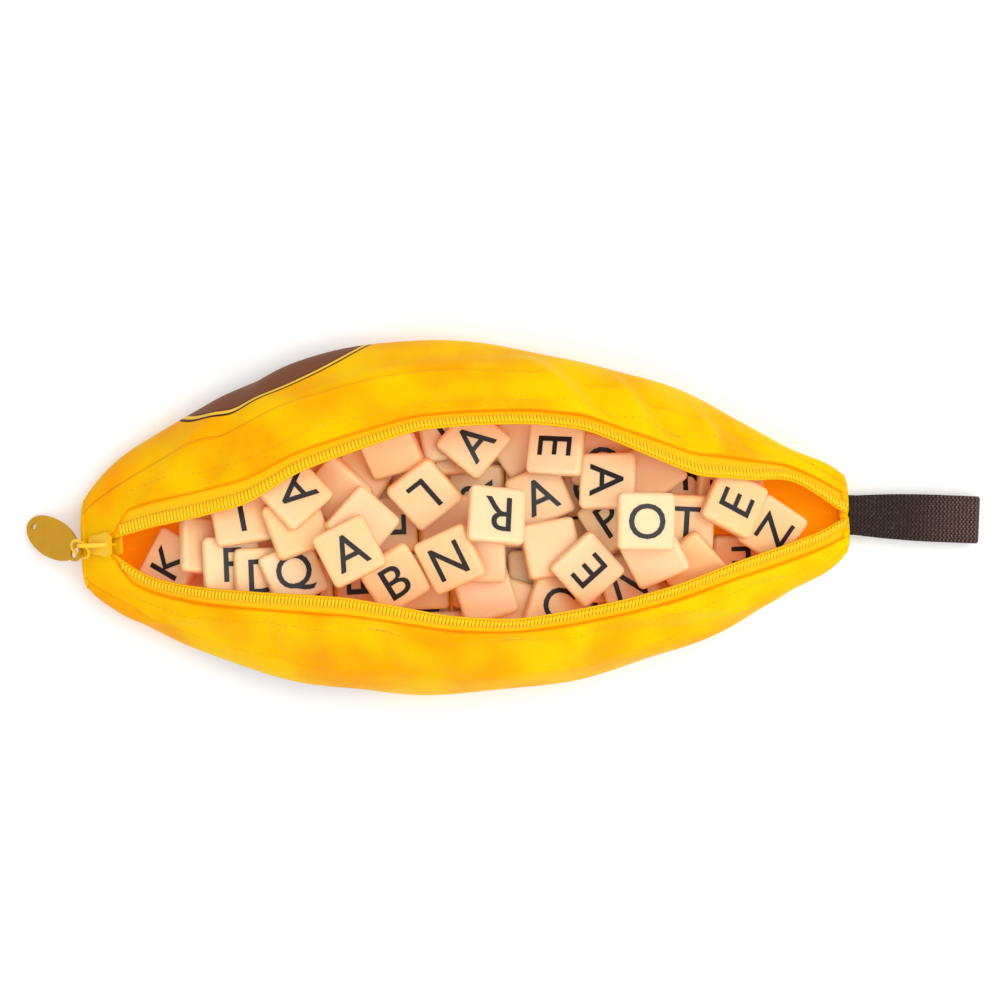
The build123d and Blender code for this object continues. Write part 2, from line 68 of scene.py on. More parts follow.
# ------------------------------------------------------------------------- shader maths
class Value:
    """A shader socket that can be used in Python expressions."""

    def __init__(self, graph: "Graph", socket: bpy.types.NodeSocket) -> None:
        """Keep the graph that the socket belongs to."""
        self.graph = graph
        self.socket = socket

    def __add__(self, other: "Value | float") -> "Value":
        """Sum."""
        return self.graph.maths("ADD", self, other)

    def __sub__(self, other: "Value | float") -> "Value":
        """Difference."""
        return self.graph.maths("SUBTRACT", self, other)

    def __rsub__(self, other: float) -> "Value":
        """Difference, with a number on the left."""
        return self.graph.maths("SUBTRACT", other, self)

    def __mul__(self, other: "Value | float") -> "Value":
        """Product."""
        return self.graph.maths("MULTIPLY", self, other)

    def __truediv__(self, other: "Value | float") -> "Value":
        """Quotient."""
        return self.graph.maths("DIVIDE", self, other)

    def __pow__(self, other: float) -> "Value":
        """Power."""
        return self.graph.maths("POWER", self, other)

    __radd__ = __add__
    __rmul__ = __mul__

    def absolute(self) -> "Value":
        """Size without its sign."""
        return self.graph.maths("ABSOLUTE", self)

    def sine(self) -> "Value":
        """Sine of the value in radians."""
        return self.graph.maths("SINE", self)

    def least(self, other: float) -> "Value":
        """The smaller of the value and the number."""
        return self.graph.maths("MINIMUM", self, other)

    def step(self, low: float, high: float) -> "Value":
        """Smooth step from 0 at low to 1 at high."""
        return self.graph.add(
            "ShaderNodeMapRange",
            {"interpolation_type": "SMOOTHSTEP"},
            {"Value": self, "From Min": low, "From Max": high},
        )


class Graph:
    """The node tree of a material or of the world."""

    def __init__(self, owner: bpy.types.Material | bpy.types.World, kind: str) -> None:
        """Start with nothing but an output.

        Args:
            owner: what the tree belongs to.
            kind: Material or World.
        """
        owner.use_nodes = True
        self.tree = owner.node_tree
        self.tree.nodes.clear()
        self.output = self.tree.nodes.new(f"ShaderNodeOutput{kind}")

    def show(self, shader: Value) -> None:
        """Make a shader the tree's result."""
        self.tree.links.new(shader.socket, self.output.inputs[0])

    def add(self, kind: str, settings: dict, sockets: dict, out: int | str = 0) -> Value:
        """Add any node.

        Args:
            kind: the node's type.
            settings: its properties, set first.
            sockets: values or links for its inputs, by name or number.
            out: which output to return.

        Returns:
            The chosen output.
        """
        node = self.tree.nodes.new(kind)
        for key, value in settings.items():
            setattr(node, key, value)
        for key, value in sockets.items():
            if isinstance(value, Value):
                self.tree.links.new(value.socket, node.inputs[key])
            else:
                node.inputs[key].default_value = value
        return Value(self, node.outputs[out])

    def maths(self, operation: str, *terms: "Value | float") -> Value:
        """A Math node on values and numbers."""
        return self.add("ShaderNodeMath", {"operation": operation}, dict(enumerate(terms)))

    def mix(self, factor: "Value | float", one: "Value | tuple", two: "Value | tuple") -> Value:
        """Blend of two colours, one at factor 0 and two at factor 1."""
        colours = [c if isinstance(c, Value) else (*c, 1.0) for c in (one, two)]
        return self.add(
            "ShaderNodeMix", {"data_type": "RGBA"}, {0: factor, 6: colours[0], 7: colours[1]}, 2
        )

    def uv(self) -> tuple[Value, Value]:
        """The piece's own map: along and across the cloth, in millimetres."""
        place = self.add("ShaderNodeUVMap", {"uv_map": "cloth"}, {})
        apart = self.add("ShaderNodeSeparateXYZ", {}, {0: place}).socket.node
        return Value(self, apart.outputs[0]) * MAP_MM, Value(self, apart.outputs[1]) * MAP_MM

    def tint(self) -> Value:
        """The piece's own attribute, between 0 and 1."""
        return self.add("ShaderNodeAttribute", {"attribute_name": "tint"}, {}, "Fac")

    def place(self) -> Value:
        """Object coordinates, in metres."""
        return self.add("ShaderNodeTexCoord", {}, {}, "Object")

    def noise(self, at: Value, scale: float, detail: float = 2.0) -> Value:
        """Soft noise between 0 and 1."""
        return self.add("ShaderNodeTexNoise", {}, {"Vector": at, "Scale": scale, "Detail": detail})

    def bump(self, height: Value, strength: float, distance: float) -> Value:
        """Normal tilted by a height, which is scaled to the distance in metres."""
        return self.add(
            "ShaderNodeBump", {}, {"Height": height, "Strength": strength, "Distance": distance}
        )

    def seen(self) -> Value:
        """One for rays from the camera, a reflection or a see-through piece, none for light."""
        camera, glossy, through = (
            self.add("ShaderNodeLightPath", {}, {}, f"Is {kind} Ray")
            for kind in ("Camera", "Glossy", "Transmission")
        )
        return (camera + glossy + through).least(1.0)


class Finish(Graph):
    """A material with one Principled shader at its end."""

    def __init__(self, name: str) -> None:
        """Make an empty material.

        Args:
            name: the finish's name.
        """
        self.material = bpy.data.materials.new(name)
        super().__init__(self.material, "Material")
        self.shader = self.add("ShaderNodeBsdfPrincipled", {}, {})
        self.show(self.shader)

    def close(self, **sockets: "Value | float | tuple") -> bpy.types.Material:
        """Set or link the Principled shader's sockets and return the material."""
        for key, value in sockets.items():
            socket = self.shader.socket.node.inputs[key.replace("_", " ")]
            if isinstance(value, Value):
                self.tree.links.new(value.socket, socket)
            elif isinstance(value, tuple) and socket.type == "RGBA":
                socket.default_value = (*value, 1.0)
            else:
                socket.default_value = value
        return self.material


def shade(red: int, green: int, blue: int) -> Triple:
    """Linear colour of a screen colour given in steps of 0 to 255."""
    parts = np.array([red, green, blue]) / 255.0
    low = parts / 12.92
    high = ((parts + 0.055) / 1.055) ** 2.4
    return tuple(float(v) for v in np.where(parts <= 0.04045, low, high))


# ------------------------------------------------------------------------- finishes
@dataclass(frozen=True)
class ClothFinish:
    """Brushed polyester: a fine twill under a short soft nap.

    through is the strength of a painted glow in the deep colour, standing in for light that comes
    through the cloth from its other side.
    """

    name: str
    colour: Triple
    deep: Triple
    # seam is the deeper orange of the painted shade along the seams and folded edges of the panels
    seam: Triple = shade(214, 128, 0)
    roughness: float = 0.5
    gloss: float = 0.04
    glow: float = 0.45
    through: float = 0.0

    def base(self, graph: Graph) -> tuple[Value, Value]:
        """Colour with faint clouding, painted light from the right and painted shade along the
        panel edges, and the height of the twill.

        Args:
            graph: the material's nodes.

        Returns:
            The colour, and a height between 0 and 1.
        """
        along, across = graph.uv()
        at = graph.place()
        cloud = graph.noise(at, 38.0, 3.0)
        nap = graph.noise(at, 900.0, 2.0)
        ribs = ((along * 5.2 + across * 3.0).sine() * (across * 7.4 - along * 2.2).sine()) * 0.5
        # painted light: the cloth turns deeper orange towards the left end and paler towards the
        # right, as if lit from the right
        cloud_and_painted_light = cloud.step(0.3, 0.7) * 0.8 + nap * 0.12 - along * 0.0014
        colour = graph.mix(cloud_and_painted_light, self.colour, self.deep)
        # painted shade: near a panel's edges the outer face is mixed towards the seam colour
        colour = graph.mix(graph.tint() * 0.8, colour, self.seam)
        return colour, ribs * 0.35 + nap * 0.5 + cloud * 0.4

    def make(self) -> bpy.types.Material:
        """The finish as a material."""
        graph = Finish(self.name)
        colour, height = self.base(graph)
        return self.close(graph, colour, height)

    def close(self, graph: Graph, colour: Value, height: Value) -> bpy.types.Material:
        """Join colour and height to the shader."""
        return graph.close(
            Base_Color=colour,
            Roughness=height * 0.12 + (self.roughness - 0.06),
            Specular_IOR_Level=self.gloss,
            Subsurface_Weight=self.glow,
            Subsurface_Scale=1.0,
            Subsurface_Radius=(0.003, 0.0016, 0.0002),
            # painted glow: the cloth shines in its deep colour as strongly as through says
            Emission_Color=self.deep,
            Emission_Strength=self.through,
            Normal=graph.bump(height, 0.3, 0.0001),
        )


@dataclass(frozen=True)
class PrintedClothFinish(ClothFinish):
    """The same cloth with a plain printed oval label: brown, with a thin pale line inside."""

    centre: tuple[float, float] = (-63.0, 0.5)
    radii: tuple[float, float] = (34.5, 16.0)
    ink: Triple = shade(120, 74, 50)
    line: Triple = shade(246, 196, 70)
    edge: Triple = shade(66, 38, 22)

    def make(self) -> bpy.types.Material:
        """The finish as a material. Its outline is the curve u^2.2 + v^2.2 = 1."""
        graph = Finish(self.name)
        colour, height = self.base(graph)
        along, across = graph.uv()
        u = ((along - self.centre[0]) / self.radii[0]).absolute()
        v = ((across - self.centre[1]) / self.radii[1]).absolute()
        wobble = graph.noise(graph.place(), 700.0) * 0.008
        ring = (u**2.2 + v**2.2) ** (1 / 2.2) + wobble
        bands = ((1.0, self.edge), (0.965, self.line), (0.915, self.edge), (0.895, self.ink))
        for limit, tone in bands:
            colour = graph.mix(1.0 - ring.step(limit - 0.005, limit + 0.005), colour, tone)
        return self.close(graph, colour, height)


@dataclass(frozen=True)
class TapeFinish:
    """Woven zip tape: narrow ribs across and finer ones along."""

    name: str
    colour: Triple

    def make(self) -> bpy.types.Material:
        """The finish as a material."""
        graph = Finish(self.name)
        along, across = graph.uv()
        ribs = (along * 8.4).sine() * 0.5 + (across * 11.0).sine() * 0.3 + 0.5
        colour = graph.mix(ribs * 0.35, self.colour, tuple(c * 0.72 for c in self.colour))
        return graph.close(
            Base_Color=colour,
            Roughness=ribs * 0.1 + 0.5,
            Specular_IOR_Level=0.2,
            Normal=graph.bump(ribs, 0.5, 0.00012),
        )


@dataclass(frozen=True)
class MouldedFinish:
    """Smooth moulded plastic or ink, with faint unevenness."""

    name: str
    colour: Triple
    roughness: float
    glow: float = 0.0

    def make(self) -> bpy.types.Material:
        """The finish as a material."""
        graph = Finish(self.name)
        cloud = graph.noise(graph.place(), 160.0, 3.0)
        colour = graph.mix(cloud * 0.3, self.colour, tuple(c * 0.86 for c in self.colour))
        return graph.close(
            Base_Color=colour,
            Roughness=cloud * 0.14 + (self.roughness - 0.07),
            Specular_IOR_Level=0.3,
            Subsurface_Weight=self.glow,
            Subsurface_Scale=1.0,
            Subsurface_Radius=(0.0012, 0.0008, 0.0003),
            Normal=graph.bump(cloud, 0.12, 0.0001),
        )


@dataclass(frozen=True)
class TileFinish:
    """Pale moulded tiles, each a little warmer or paler than the next."""

    name: str
    colour: Triple
    warm: Triple

    def make(self) -> bpy.types.Material:
        """The finish as a material. The piece's own attribute tells its tiles apart."""
        graph = Finish(self.name)
        at = graph.place()
        cloud = graph.noise(at, 90.0, 2.0)
        speck = graph.noise(at, 1500.0, 1.0)
        colour = graph.mix(graph.tint() * 0.8 + cloud * 0.2, self.colour, self.warm)
        return graph.close(
            Base_Color=colour,
            Roughness=cloud * 0.14 + speck * 0.06 + 0.26,
            Specular_IOR_Level=0.35,
            Subsurface_Weight=0.7,
            Subsurface_Scale=1.0,
            Subsurface_Radius=(0.006, 0.0022, 0.0006),
            Normal=graph.bump(speck * 0.3 + cloud, 0.1, 0.00015),
        )


@dataclass(frozen=True)
class MetalFinish:
    """Painted or lacquered metal with fine handling marks."""

    name: str
    colour: Triple
    metallic: float
    roughness: float

    def make(self) -> bpy.types.Material:
        """The finish as a material."""
        graph = Finish(self.name)
        at = graph.place()
        cloud = graph.noise(at, 220.0, 4.0)
        drawn = graph.add("ShaderNodeMapping", {}, {"Vector": at, "Scale": (1.0, 14.0, 3.0)})
        scratch = graph.noise(drawn, 260.0, 3.0)
        scratches_and_lighter_end = scratch.step(0.6, 0.72) * 0.35
        dull = tuple(c * 0.7 for c in self.colour)
        return graph.close(
            Base_Color=graph.mix(cloud * 0.5, self.colour, dull),
            Metallic=self.metallic,
            Roughness=cloud * 0.16 + scratches_and_lighter_end * 0.2 + self.roughness - 0.08,
            Normal=graph.bump(cloud + scratches_and_lighter_end, 0.15, 0.00012),
        )


@dataclass(frozen=True)
class WebbingFinish:
    """Dark ribbed webbing, a herringbone of two browns."""

    name: str
    colour: Triple
    fleck: Triple

    def make(self) -> bpy.types.Material:
        """The finish as a material. Threads slant one way, then the other, across the band."""
        graph = Finish(self.name)
        along, across = graph.uv()
        slant = (across * 1.9).sine().absolute() * 1.8
        fuzz = graph.noise(graph.place(), 1100.0, 2.0)
        thread = ((along * 4.6 + slant * 2.0 + fuzz * 1.6).sine() * 0.5 + 0.5) ** 1.6
        rib = (across * 7.6 + fuzz).sine() * 0.5 + 0.5
        light = thread * (rib * 0.6 + 0.4)
        # lighter from 20 mm along the band out to the fold and round it
        scratches_and_lighter_end = along.step(20.0, 44.0) * 0.55 + 0.2
        colour = graph.mix(light * scratches_and_lighter_end + fuzz.step(0.5, 0.8) * 0.15, self.colour, self.fleck)
        return graph.close(
            Base_Color=colour,
            Roughness=fuzz * 0.2 + 0.62,
            Specular_IOR_Level=0.15,
            Sheen_Weight=0.06,
            Normal=graph.bump(light + fuzz * 0.4, 0.9, 0.00035),
        )


YELLOW = shade(255, 202, 0)
YELLOW_DEEP = shade(249, 160, 0)
CLOTH = ClothFinish("brushed_yellow_cloth", YELLOW, YELLOW_DEEP)
# the inner face of the same yellow cloth, painted deeper orange as shade and given a painted glow
INNER_SHADE_AND_GLOW = ClothFinish(
    "inner_cloth_painted_shade_and_glow", shade(255, 170, 0), shade(255, 144, 0), roughness=0.6, glow=0.8, through=0.22
)
TAPE = TapeFinish("yellow_zip_tape", shade(255, 200, 0))
COIL = MouldedFinish("yellow_nylon_coil", shade(255, 204, 6), 0.46, glow=0.2)
THREAD = MouldedFinish("yellow_stitching", shade(236, 172, 0), 0.55)
TILES = TileFinish("ivory_tile", shade(254, 216, 172), shade(254, 200, 142))
INK = MouldedFinish("black_letter_ink", shade(16, 9, 8), 0.45)
PAINT = MetalFinish("yellow_painted_zinc", shade(250, 198, 10), 0.0, 0.36)
TAG = MetalFinish("olive_gold_lacquer", shade(206, 150, 0), 0.45, 0.46)
WEBBING = WebbingFinish("dark_brown_webbing", shade(22, 13, 11), shade(150, 118, 106))


# ------------------------------------------------------------------------- meshes
class Piece:
    """A finished mesh object that rides on the frame."""

    def __init__(self, name: str) -> None:
        """Start a piece with no faces yet.

        Args:
            name: the piece's name.
        """
        self.name = name
        self.parts: list[tuple[np.ndarray, ...]] = []
        self.count = 0

    def add(self, points: np.ndarray, faces: np.ndarray, coords: np.ndarray | None = None,
            slots: np.ndarray | int = 0, tint: float | np.ndarray = 0.0) -> None:
        """Add faces that all have the same number of corners.

        Args:
            points: (n, 3) in millimetres; faces count from the first of them.
            faces: (m, k) point numbers.
            coords: (n, 2) map of the points in millimetres, or None for a map of zeros.
            slots: finish number of each face.
            tint: one value for the points, or one for each point.
        """
        self.parts.append((
            points,
            faces.ravel() + self.count,
            np.full(len(faces), faces.shape[1]),
            np.zeros((faces.size, 2)) if coords is None else coords[faces.ravel()],
            np.broadcast_to(slots, (len(faces),)),
            np.broadcast_to(tint, (len(points),)),
        ))
        self.count += len(points)

    def tube(self, rings: np.ndarray, coords: np.ndarray | None = None, lined: bool = False,
             tint: float | np.ndarray = 0.0, lid: int = 0) -> None:
        """Add a closed tube: rings joined by quads, with one flat face at each end.

        Args:
            rings: (n, m, 3) points in millimetres.
            coords: (n, m, 2) map of the points in millimetres, or None.
            lined: give the second half of each ring the second finish.
            tint: one value for the points, or one for each point.
            lid: finish number of the two end faces.
        """
        count, around = rings.shape[:2]
        faces = grid_faces(count, around)
        ends = np.stack([np.arange(around), np.arange(around)[::-1] + around * (count - 1)])
        corner = (rings - rings.mean(axis=(0, 1))).reshape(-1, 3)[faces]
        fan = np.cross(corner[:, 1], corner[:, 2]) + np.cross(corner[:, 2], corner[:, 3])
        slots = (faces[:, 0] % around >= around // 2).astype(int) if lined else 0
        if np.einsum("ij,ij->", corner[:, 0], fan) <= 0:  # the signed volume: turn it outward
            faces, ends = faces[:, ::-1], ends[:, ::-1]
        flat = None if coords is None else coords.reshape(-1, 2)
        self.add(rings.reshape(-1, 3), faces, flat, slots, tint)
        self.add(np.zeros((0, 3)), ends - count * around, slots=lid)

    def build(self, *finishes: bpy.types.Material, flat: bool = False) -> bpy.types.Object:
        """Turn the arrays into a mesh object at the origin.

        Args:
            finishes: materials, in the order of the finish numbers.
            flat: leave the faces unsmoothed.

        Returns:
            The new object.
        """
        mesh = bpy.data.meshes.new(self.name)
        points, loops, sizes, coords, slots, tints = map(np.concatenate, zip(*self.parts))
        mesh.vertices.add(len(points))
        mesh.vertices.foreach_set("co", (points * MM).astype(np.float32).ravel())
        mesh.loops.add(len(loops))
        mesh.loops.foreach_set("vertex_index", loops.astype(np.int32))
        mesh.polygons.add(len(sizes))
        starts = np.concatenate([[0], np.cumsum(sizes)[:-1]])
        mesh.polygons.foreach_set("loop_start", starts.astype(np.int32))
        mesh.polygons.foreach_set("material_index", slots.astype(np.int32))
        mesh.update(calc_edges=True)
        mesh.validate()
        mesh.polygons.foreach_set("use_smooth", np.full(len(sizes), not flat))
        layer = mesh.uv_layers.new(name="cloth")
        layer.data.foreach_set("uv", (coords / MAP_MM).astype(np.float32).ravel())
        tint = mesh.attributes.new("tint", "FLOAT", "POINT")
        tint.data.foreach_set("value", tints.astype(np.float32))
        for finish in finishes:
            mesh.materials.append(finish)
        piece = bpy.data.objects.new(self.name, mesh)
        bpy.context.scene.collection.objects.link(piece)
        log.info("%s: %d faces", self.name, len(sizes))
        return piece


def mesh_arrays(mesh: bpy.types.Mesh) -> tuple[np.ndarray, np.ndarray]:
    """A mesh's (n, 3) points in its own unit, and its (m, 3) triangles."""
    mesh.calc_loop_triangles()
    points = np.zeros(len(mesh.vertices) * 3, np.float32)
    mesh.vertices.foreach_get("co", points)
    faces = np.zeros(len(mesh.loop_triangles) * 3, np.int32)
    mesh.loop_triangles.foreach_get("vertices", faces)
    return points.reshape(-1, 3), faces.reshape(-1, 3)


def grid_faces(rows: int, columns: int) -> np.ndarray:
    """Corners of the quads of a grid whose last column joins the first, row by row."""
    i, j = np.meshgrid(np.arange(rows - 1), np.arange(columns), indexing="ij")
    k = (j + 1) % columns
    corners = [i * columns + j, (i + 1) * columns + j, (i + 1) * columns + k, i * columns + k]
    return np.stack(corners, -1).reshape(-1, 4)


def unit(vectors: np.ndarray) -> np.ndarray:
    """The vectors of an array's last axis, brought to length 1."""
    return vectors / np.linalg.norm(vectors, axis=-1, keepdims=True)


def sweep(
    path: np.ndarray, aside: np.ndarray, above: np.ndarray, outline: np.ndarray
) -> np.ndarray:
    """Rings of an outline carried along a path: point + aside * u + above * v.

    Args:
        path: (n, 3) points.
        aside: (n, 3) directions of the outline's u.
        above: (n, 3) directions of the outline's v.
        outline: (m, 2) u and v.

    Returns:
        (n, m, 3) points.
    """
    return path[:, None] + aside[:, None] * outline[:, :1] + above[:, None] * outline[:, 1:]


# ------------------------------------------------------------------------- the pouch's shape
@dataclass(frozen=True)
class PouchShape:
    """The pouch's driving sizes, in millimetres."""

    half_length: float = 131.0
    chord_z: float = 11.0
    lip_tip_radius: float = 5.0
    lip_mid_radius: float = 55.0
    tip_half_width: float = 12.0
    widest_z: tuple[float, float] = (12.0, 17.0)
    base_half_length: float = 120.0
    base_share: float = 0.64
    tip_lift: float = 3.0
    lift_start: float = 100.0
    panel_edge: float = 5.4

    @property
    def arc_radius(self) -> float:
        """Radius of the closed zip's arc, which passes through both tips and the middle."""
        rise = self.lip_mid_radius - self.lip_tip_radius
        return (self.half_length**2 + rise**2) / (2 * rise)

    def lip_radius(self, x: np.ndarray) -> np.ndarray:
        """Distance from the chord to the lip: the height of a circular arc at x."""
        return np.sqrt(self.arc_radius**2 - x**2) - (self.arc_radius - self.lip_mid_radius)


@dataclass(frozen=True)
class Side:
    """One half of the pouch, behind or in front of the chord.

    lean pairs a station with the degrees by which the soft lip stands nearer to upright
    there. tips is how much fuller the left and right tips are. label is the middle of the
    printed oval, along the side and below its widest line. A fold is a centre (x, s),
    a direction in degrees, a length, a width and a height. blend is the line along which
    the cloth near the zip goes over from the pouch to the lip.
    """

    name: str
    sign: float
    opening: float
    half_width: float
    peak_x: float
    seam_share: float
    bulge: tuple[tuple[float, float], tuple[float, float]]
    lean: tuple[tuple[float, float], ...]
    tips: tuple[float, float]
    label: tuple[float, float]
    folds: tuple[tuple[float, float, float, float, float, float], ...]
    blend: tuple[Triple, Triple]

    @property
    def flap(self) -> str:
        """A name for the body of this side's lip."""
        return f"{self.name}_flap"


BACK = Side(
    "back", 1.0, 42.0, 65.5, -12.0, 0.40, ((2.0, 0.85), (1.8, 0.95)),
    lean=(
        (-131, 35), (-121, 34), (-107, 29), (-89, 28), (-71, 25), (-54, 14), (-30, 7),
        (-14, 2), (26, 0), (42, 1), (59, 9), (79, 18), (99, 13), (114, -4), (125, 4), (131, 30),
    ),
    tips=(3.6, 2.4),
    label=(-63.0, 0.5),
    folds=(
        (-96, 12, 35, 26, 4.0, 1.3),
        (-78, 22, 60, 20, 5.0, -1.2),
        (-52, 14, -30, 26, 5.0, 1.0),
        (34, 15, -52, 15, 3.2, 1.9),
        (44, 17, -48, 15, 3.2, -1.7),
        (58, 14, -60, 12, 2.8, 1.6),
        (68, 13, -44, 14, 3.0, -1.5),
        (84, 10, -66, 10, 2.6, 1.5),
        (96, 11, -30, 14, 2.6, -1.2),
        (4, 14, 6, 44, 4.5, 0.8),
        (-22, 30, 5, 50, 5.0, -0.7),
    ),
    blend=((0, -27.22, 12.77), (0, 13.44, -6.31)),
)
FRONT = Side(
    "front", -1.0, 32.5, 55.7, -8.0, 0.48, ((2.0, 0.85), (2.0, 0.83)),
    lean=(
        (-131, 27), (-122, 24), (-114, 6), (-107, 1), (-96, 3), (-76, 7), (-55, 9), (-39, 9),
        (-22, 6), (-6, 2), (16, -1), (53, 1), (70, 2.5), (91, 7), (113, 8), (125, 8), (131, 24),
    ),
    tips=(3.2, 1.0),
    label=(-64.0, 13.0),
    folds=(
        (-100, 12, -24, 24, 3.5, 1.2),
        (-66, 13, 78, 13, 4.6, -1.3),
        (-46, 14, 84, 13, 4.6, 1.5),
        (-28, 15, 80, 12, 4.2, -1.3),
        (-2, 17, 86, 13, 5.0, 1.3),
        (16, 15, 82, 12, 4.4, -1.2),
        (36, 13, 84, 12, 4.2, 1.2),
        (62, 16, 18, 24, 3.6, -1.2),
        (82, 12, 24, 22, 3.2, 1.2),
        (100, 10, 20, 16, 2.8, -0.9),
    ),
    blend=((0, 19.91, 8.87), (0, -4.26, -1.9)),
)


class Wall:
    """The outer wall of one side, from the lip down and round to the base's edge.

    At each x the wall is two cubic Bezier curves: from the lip, which starts square to the
    line from the chord, to the widest point, and on down to the edge of the flat base.
    """

    SAMPLES = 90  # points on each curve
    LIP_PULL, WIDE_PULL = 0.35, 0.4  # control points of the upper curve, over its chord
    WIDE_DROP, KNEE = 0.6, 0.45  # those of the lower curve, over its height and its width
    WINDOW, FADE = 31, 1.4  # how the lean is smoothed, and how it dies away below the lip
    TIP_FULL = ((-128, 15), (128, 10))  # middle and reach of the fuller tips
    WAVES, WAVE_HEIGHT = 18, 0.13
    RELIEF = 1.6  # how much taller the folds and waves are made, all together
    LIP_FLAT, LIP_RISE, BASE_FADE, TIP_FADE = 4.0, 6.0, 12.0, 18.0  # where they die away

    def __init__(self, shape: PouchShape, side: Side, x: np.ndarray) -> None:
        """Work out the cross-sections.

        Args:
            shape: the pouch's sizes.
            side: which half.
            x: (n,) stations in millimetres.
        """
        self.shape, self.side, self.x = shape, side, x
        turn = np.radians(side.opening)
        radius = shape.lip_radius(np.clip(x, -shape.half_length, shape.half_length))
        share = 1 - (x / shape.half_length) ** 2
        lip = np.stack([radius * np.sin(turn), shape.chord_z + radius * np.cos(turn)], -1)
        widest_z = shape.widest_z[0] + (shape.widest_z[1] - shape.widest_z[0]) * share
        wide = np.stack([self.half_width(x), widest_z], -1)
        reach = np.linalg.norm(wide - lip, axis=1)[:, None]
        start = lip + self.LIP_PULL * reach * np.array([np.cos(turn), -np.sin(turn)])
        above = wide + self.WIDE_PULL * reach * np.array([0.0, 1.0])
        upper = self.bezier(lip, start, above, wide)
        u = np.clip(np.abs(x) / shape.base_half_length, 0, 1)
        edge = 0.15 + shape.base_share * side.half_width * (1 - u**2) ** 1.3
        lifted = (np.abs(x) - shape.lift_start) / (shape.half_length - shape.lift_start)
        lifted = np.clip(lifted, 0, 2)
        low = shape.tip_lift * lifted**2
        drop = wide[:, 1] - low
        foot = np.stack([edge, low], -1)
        knee = np.stack([edge + self.KNEE * (wide[:, 0] - edge), low], -1)
        below = wide - self.WIDE_DROP * np.stack([np.zeros_like(drop), drop], -1)
        lower = self.bezier(wide, below, knee, foot)
        self.path = np.concatenate([upper, lower[:, 1:]], axis=1)
        steps = np.linalg.norm(np.diff(self.path, axis=1), axis=2)
        self.s = np.concatenate([np.zeros((len(x), 1)), np.cumsum(steps, axis=1)], axis=1)
        self.path = self.leant(self.path, self.s)
        tangent = unit(np.gradient(self.path, axis=1))
        self.inward = np.stack([tangent[..., 1], -tangent[..., 0]], -1)
        self.widest = self.s[:, self.SAMPLES - 1]
        self.end = self.s[:, -1]
        self.seam = shape.panel_edge + (self.widest - shape.panel_edge) * side.seam_share

    def leant(self, path: np.ndarray, s: np.ndarray) -> np.ndarray:
        """The wall turned about the chord, fully at the lip and less and less down to its
        widest point, so that the lip keeps its distance from the chord."""
        grid = np.linspace(-150, 150, 601)
        places, degrees = np.array(self.side.lean, float).T
        kernel = np.hanning(self.WINDOW)
        padded = np.pad(np.interp(grid, places, degrees), self.WINDOW // 2, "edge")
        smooth = np.convolve(padded, kernel / kernel.sum(), "valid")
        widest = s[:, self.SAMPLES - 1 : self.SAMPLES]
        turn = np.radians(np.interp(self.x, grid, smooth))[:, None]
        turn = turn * np.clip(1 - s / widest, 0, 1) ** self.FADE
        y, z = path[..., 0], path[..., 1] - self.shape.chord_z
        turned = [y * np.cos(turn) - z * np.sin(turn), y * np.sin(turn) + z * np.cos(turn)]
        return np.stack([turned[0], turned[1] + self.shape.chord_z], -1)

    def half_width(self, x: np.ndarray) -> np.ndarray:
        """Half-width at x: a lens, one minus a power of the distance from its widest place,
        and a Gaussian at each tip."""
        side, shape = self.side, self.shape
        left = x < side.peak_x
        reach = shape.half_length + np.where(left, 1, -1) * side.peak_x
        exponent, power = (np.where(left, *pair) for pair in zip(*side.bulge))
        u = np.clip(np.abs(x - side.peak_x) / reach, 0, 1)
        lens = (side.half_width - shape.tip_half_width) * (1 - u**exponent) ** power
        width = shape.tip_half_width + lens
        for fuller, (middle, far) in zip(side.tips, self.TIP_FULL):
            width = width + fuller * np.exp(-(((x - middle) / far) ** 2))
        return width

    @classmethod
    def bezier(cls, *controls: np.ndarray) -> np.ndarray:
        """Cubic Bezier curves, one for each row of the four control points."""
        t = np.linspace(0, 1, cls.SAMPLES)[None, :, None]
        p0, p1, p2, p3 = (c[:, None, :] for c in controls)
        return (1 - t) ** 3 * p0 + 3 * t * (1 - t) ** 2 * p1 + 3 * t * t * (1 - t) * p2 + t**3 * p3

    def relief(self, x: np.ndarray, s: np.ndarray) -> np.ndarray:
        """How far the cloth stands out of the plain wall: soft folds, each a long Gaussian
        ridge or valley turned to its own direction, and low uneven waves summed from sines."""
        out = np.zeros(np.broadcast(x, s).shape)
        for cx, cs, turn, length, width, height in self.side.folds:
            a = np.radians(turn)
            along = (x - cx) * np.cos(a) + (s - cs) * np.sin(a)
            across = -(x - cx) * np.sin(a) + (s - cs) * np.cos(a)
            out = out + height * np.exp(-((along / length) ** 2) - (across / width) ** 2)
        dice = np.random.default_rng(7 if self.side.sign > 0 else 8)
        for _ in range(self.WAVES):
            length, turn, phase = dice.uniform(22, 70), dice.normal(0, 0.6), dice.uniform(0, 6.28)
            wave = (x * np.sin(turn) * 0.7 + s * np.cos(turn)) * 6.283 / length
            wave = wave + x * 0.02 * dice.uniform(-2, 2)
            out = out + self.WAVE_HEIGHT * np.sin(wave + phase)
        out = out * self.RELIEF
        lip = np.clip((s - self.LIP_FLAT) / self.LIP_RISE, 0, 1)
        base = np.clip((self.end[:, None] - s) / self.BASE_FADE, 0, 1)
        tips = np.clip((self.shape.half_length - np.abs(x)) / self.TIP_FADE, 0.25, 1)
        return out * lip * base * tips

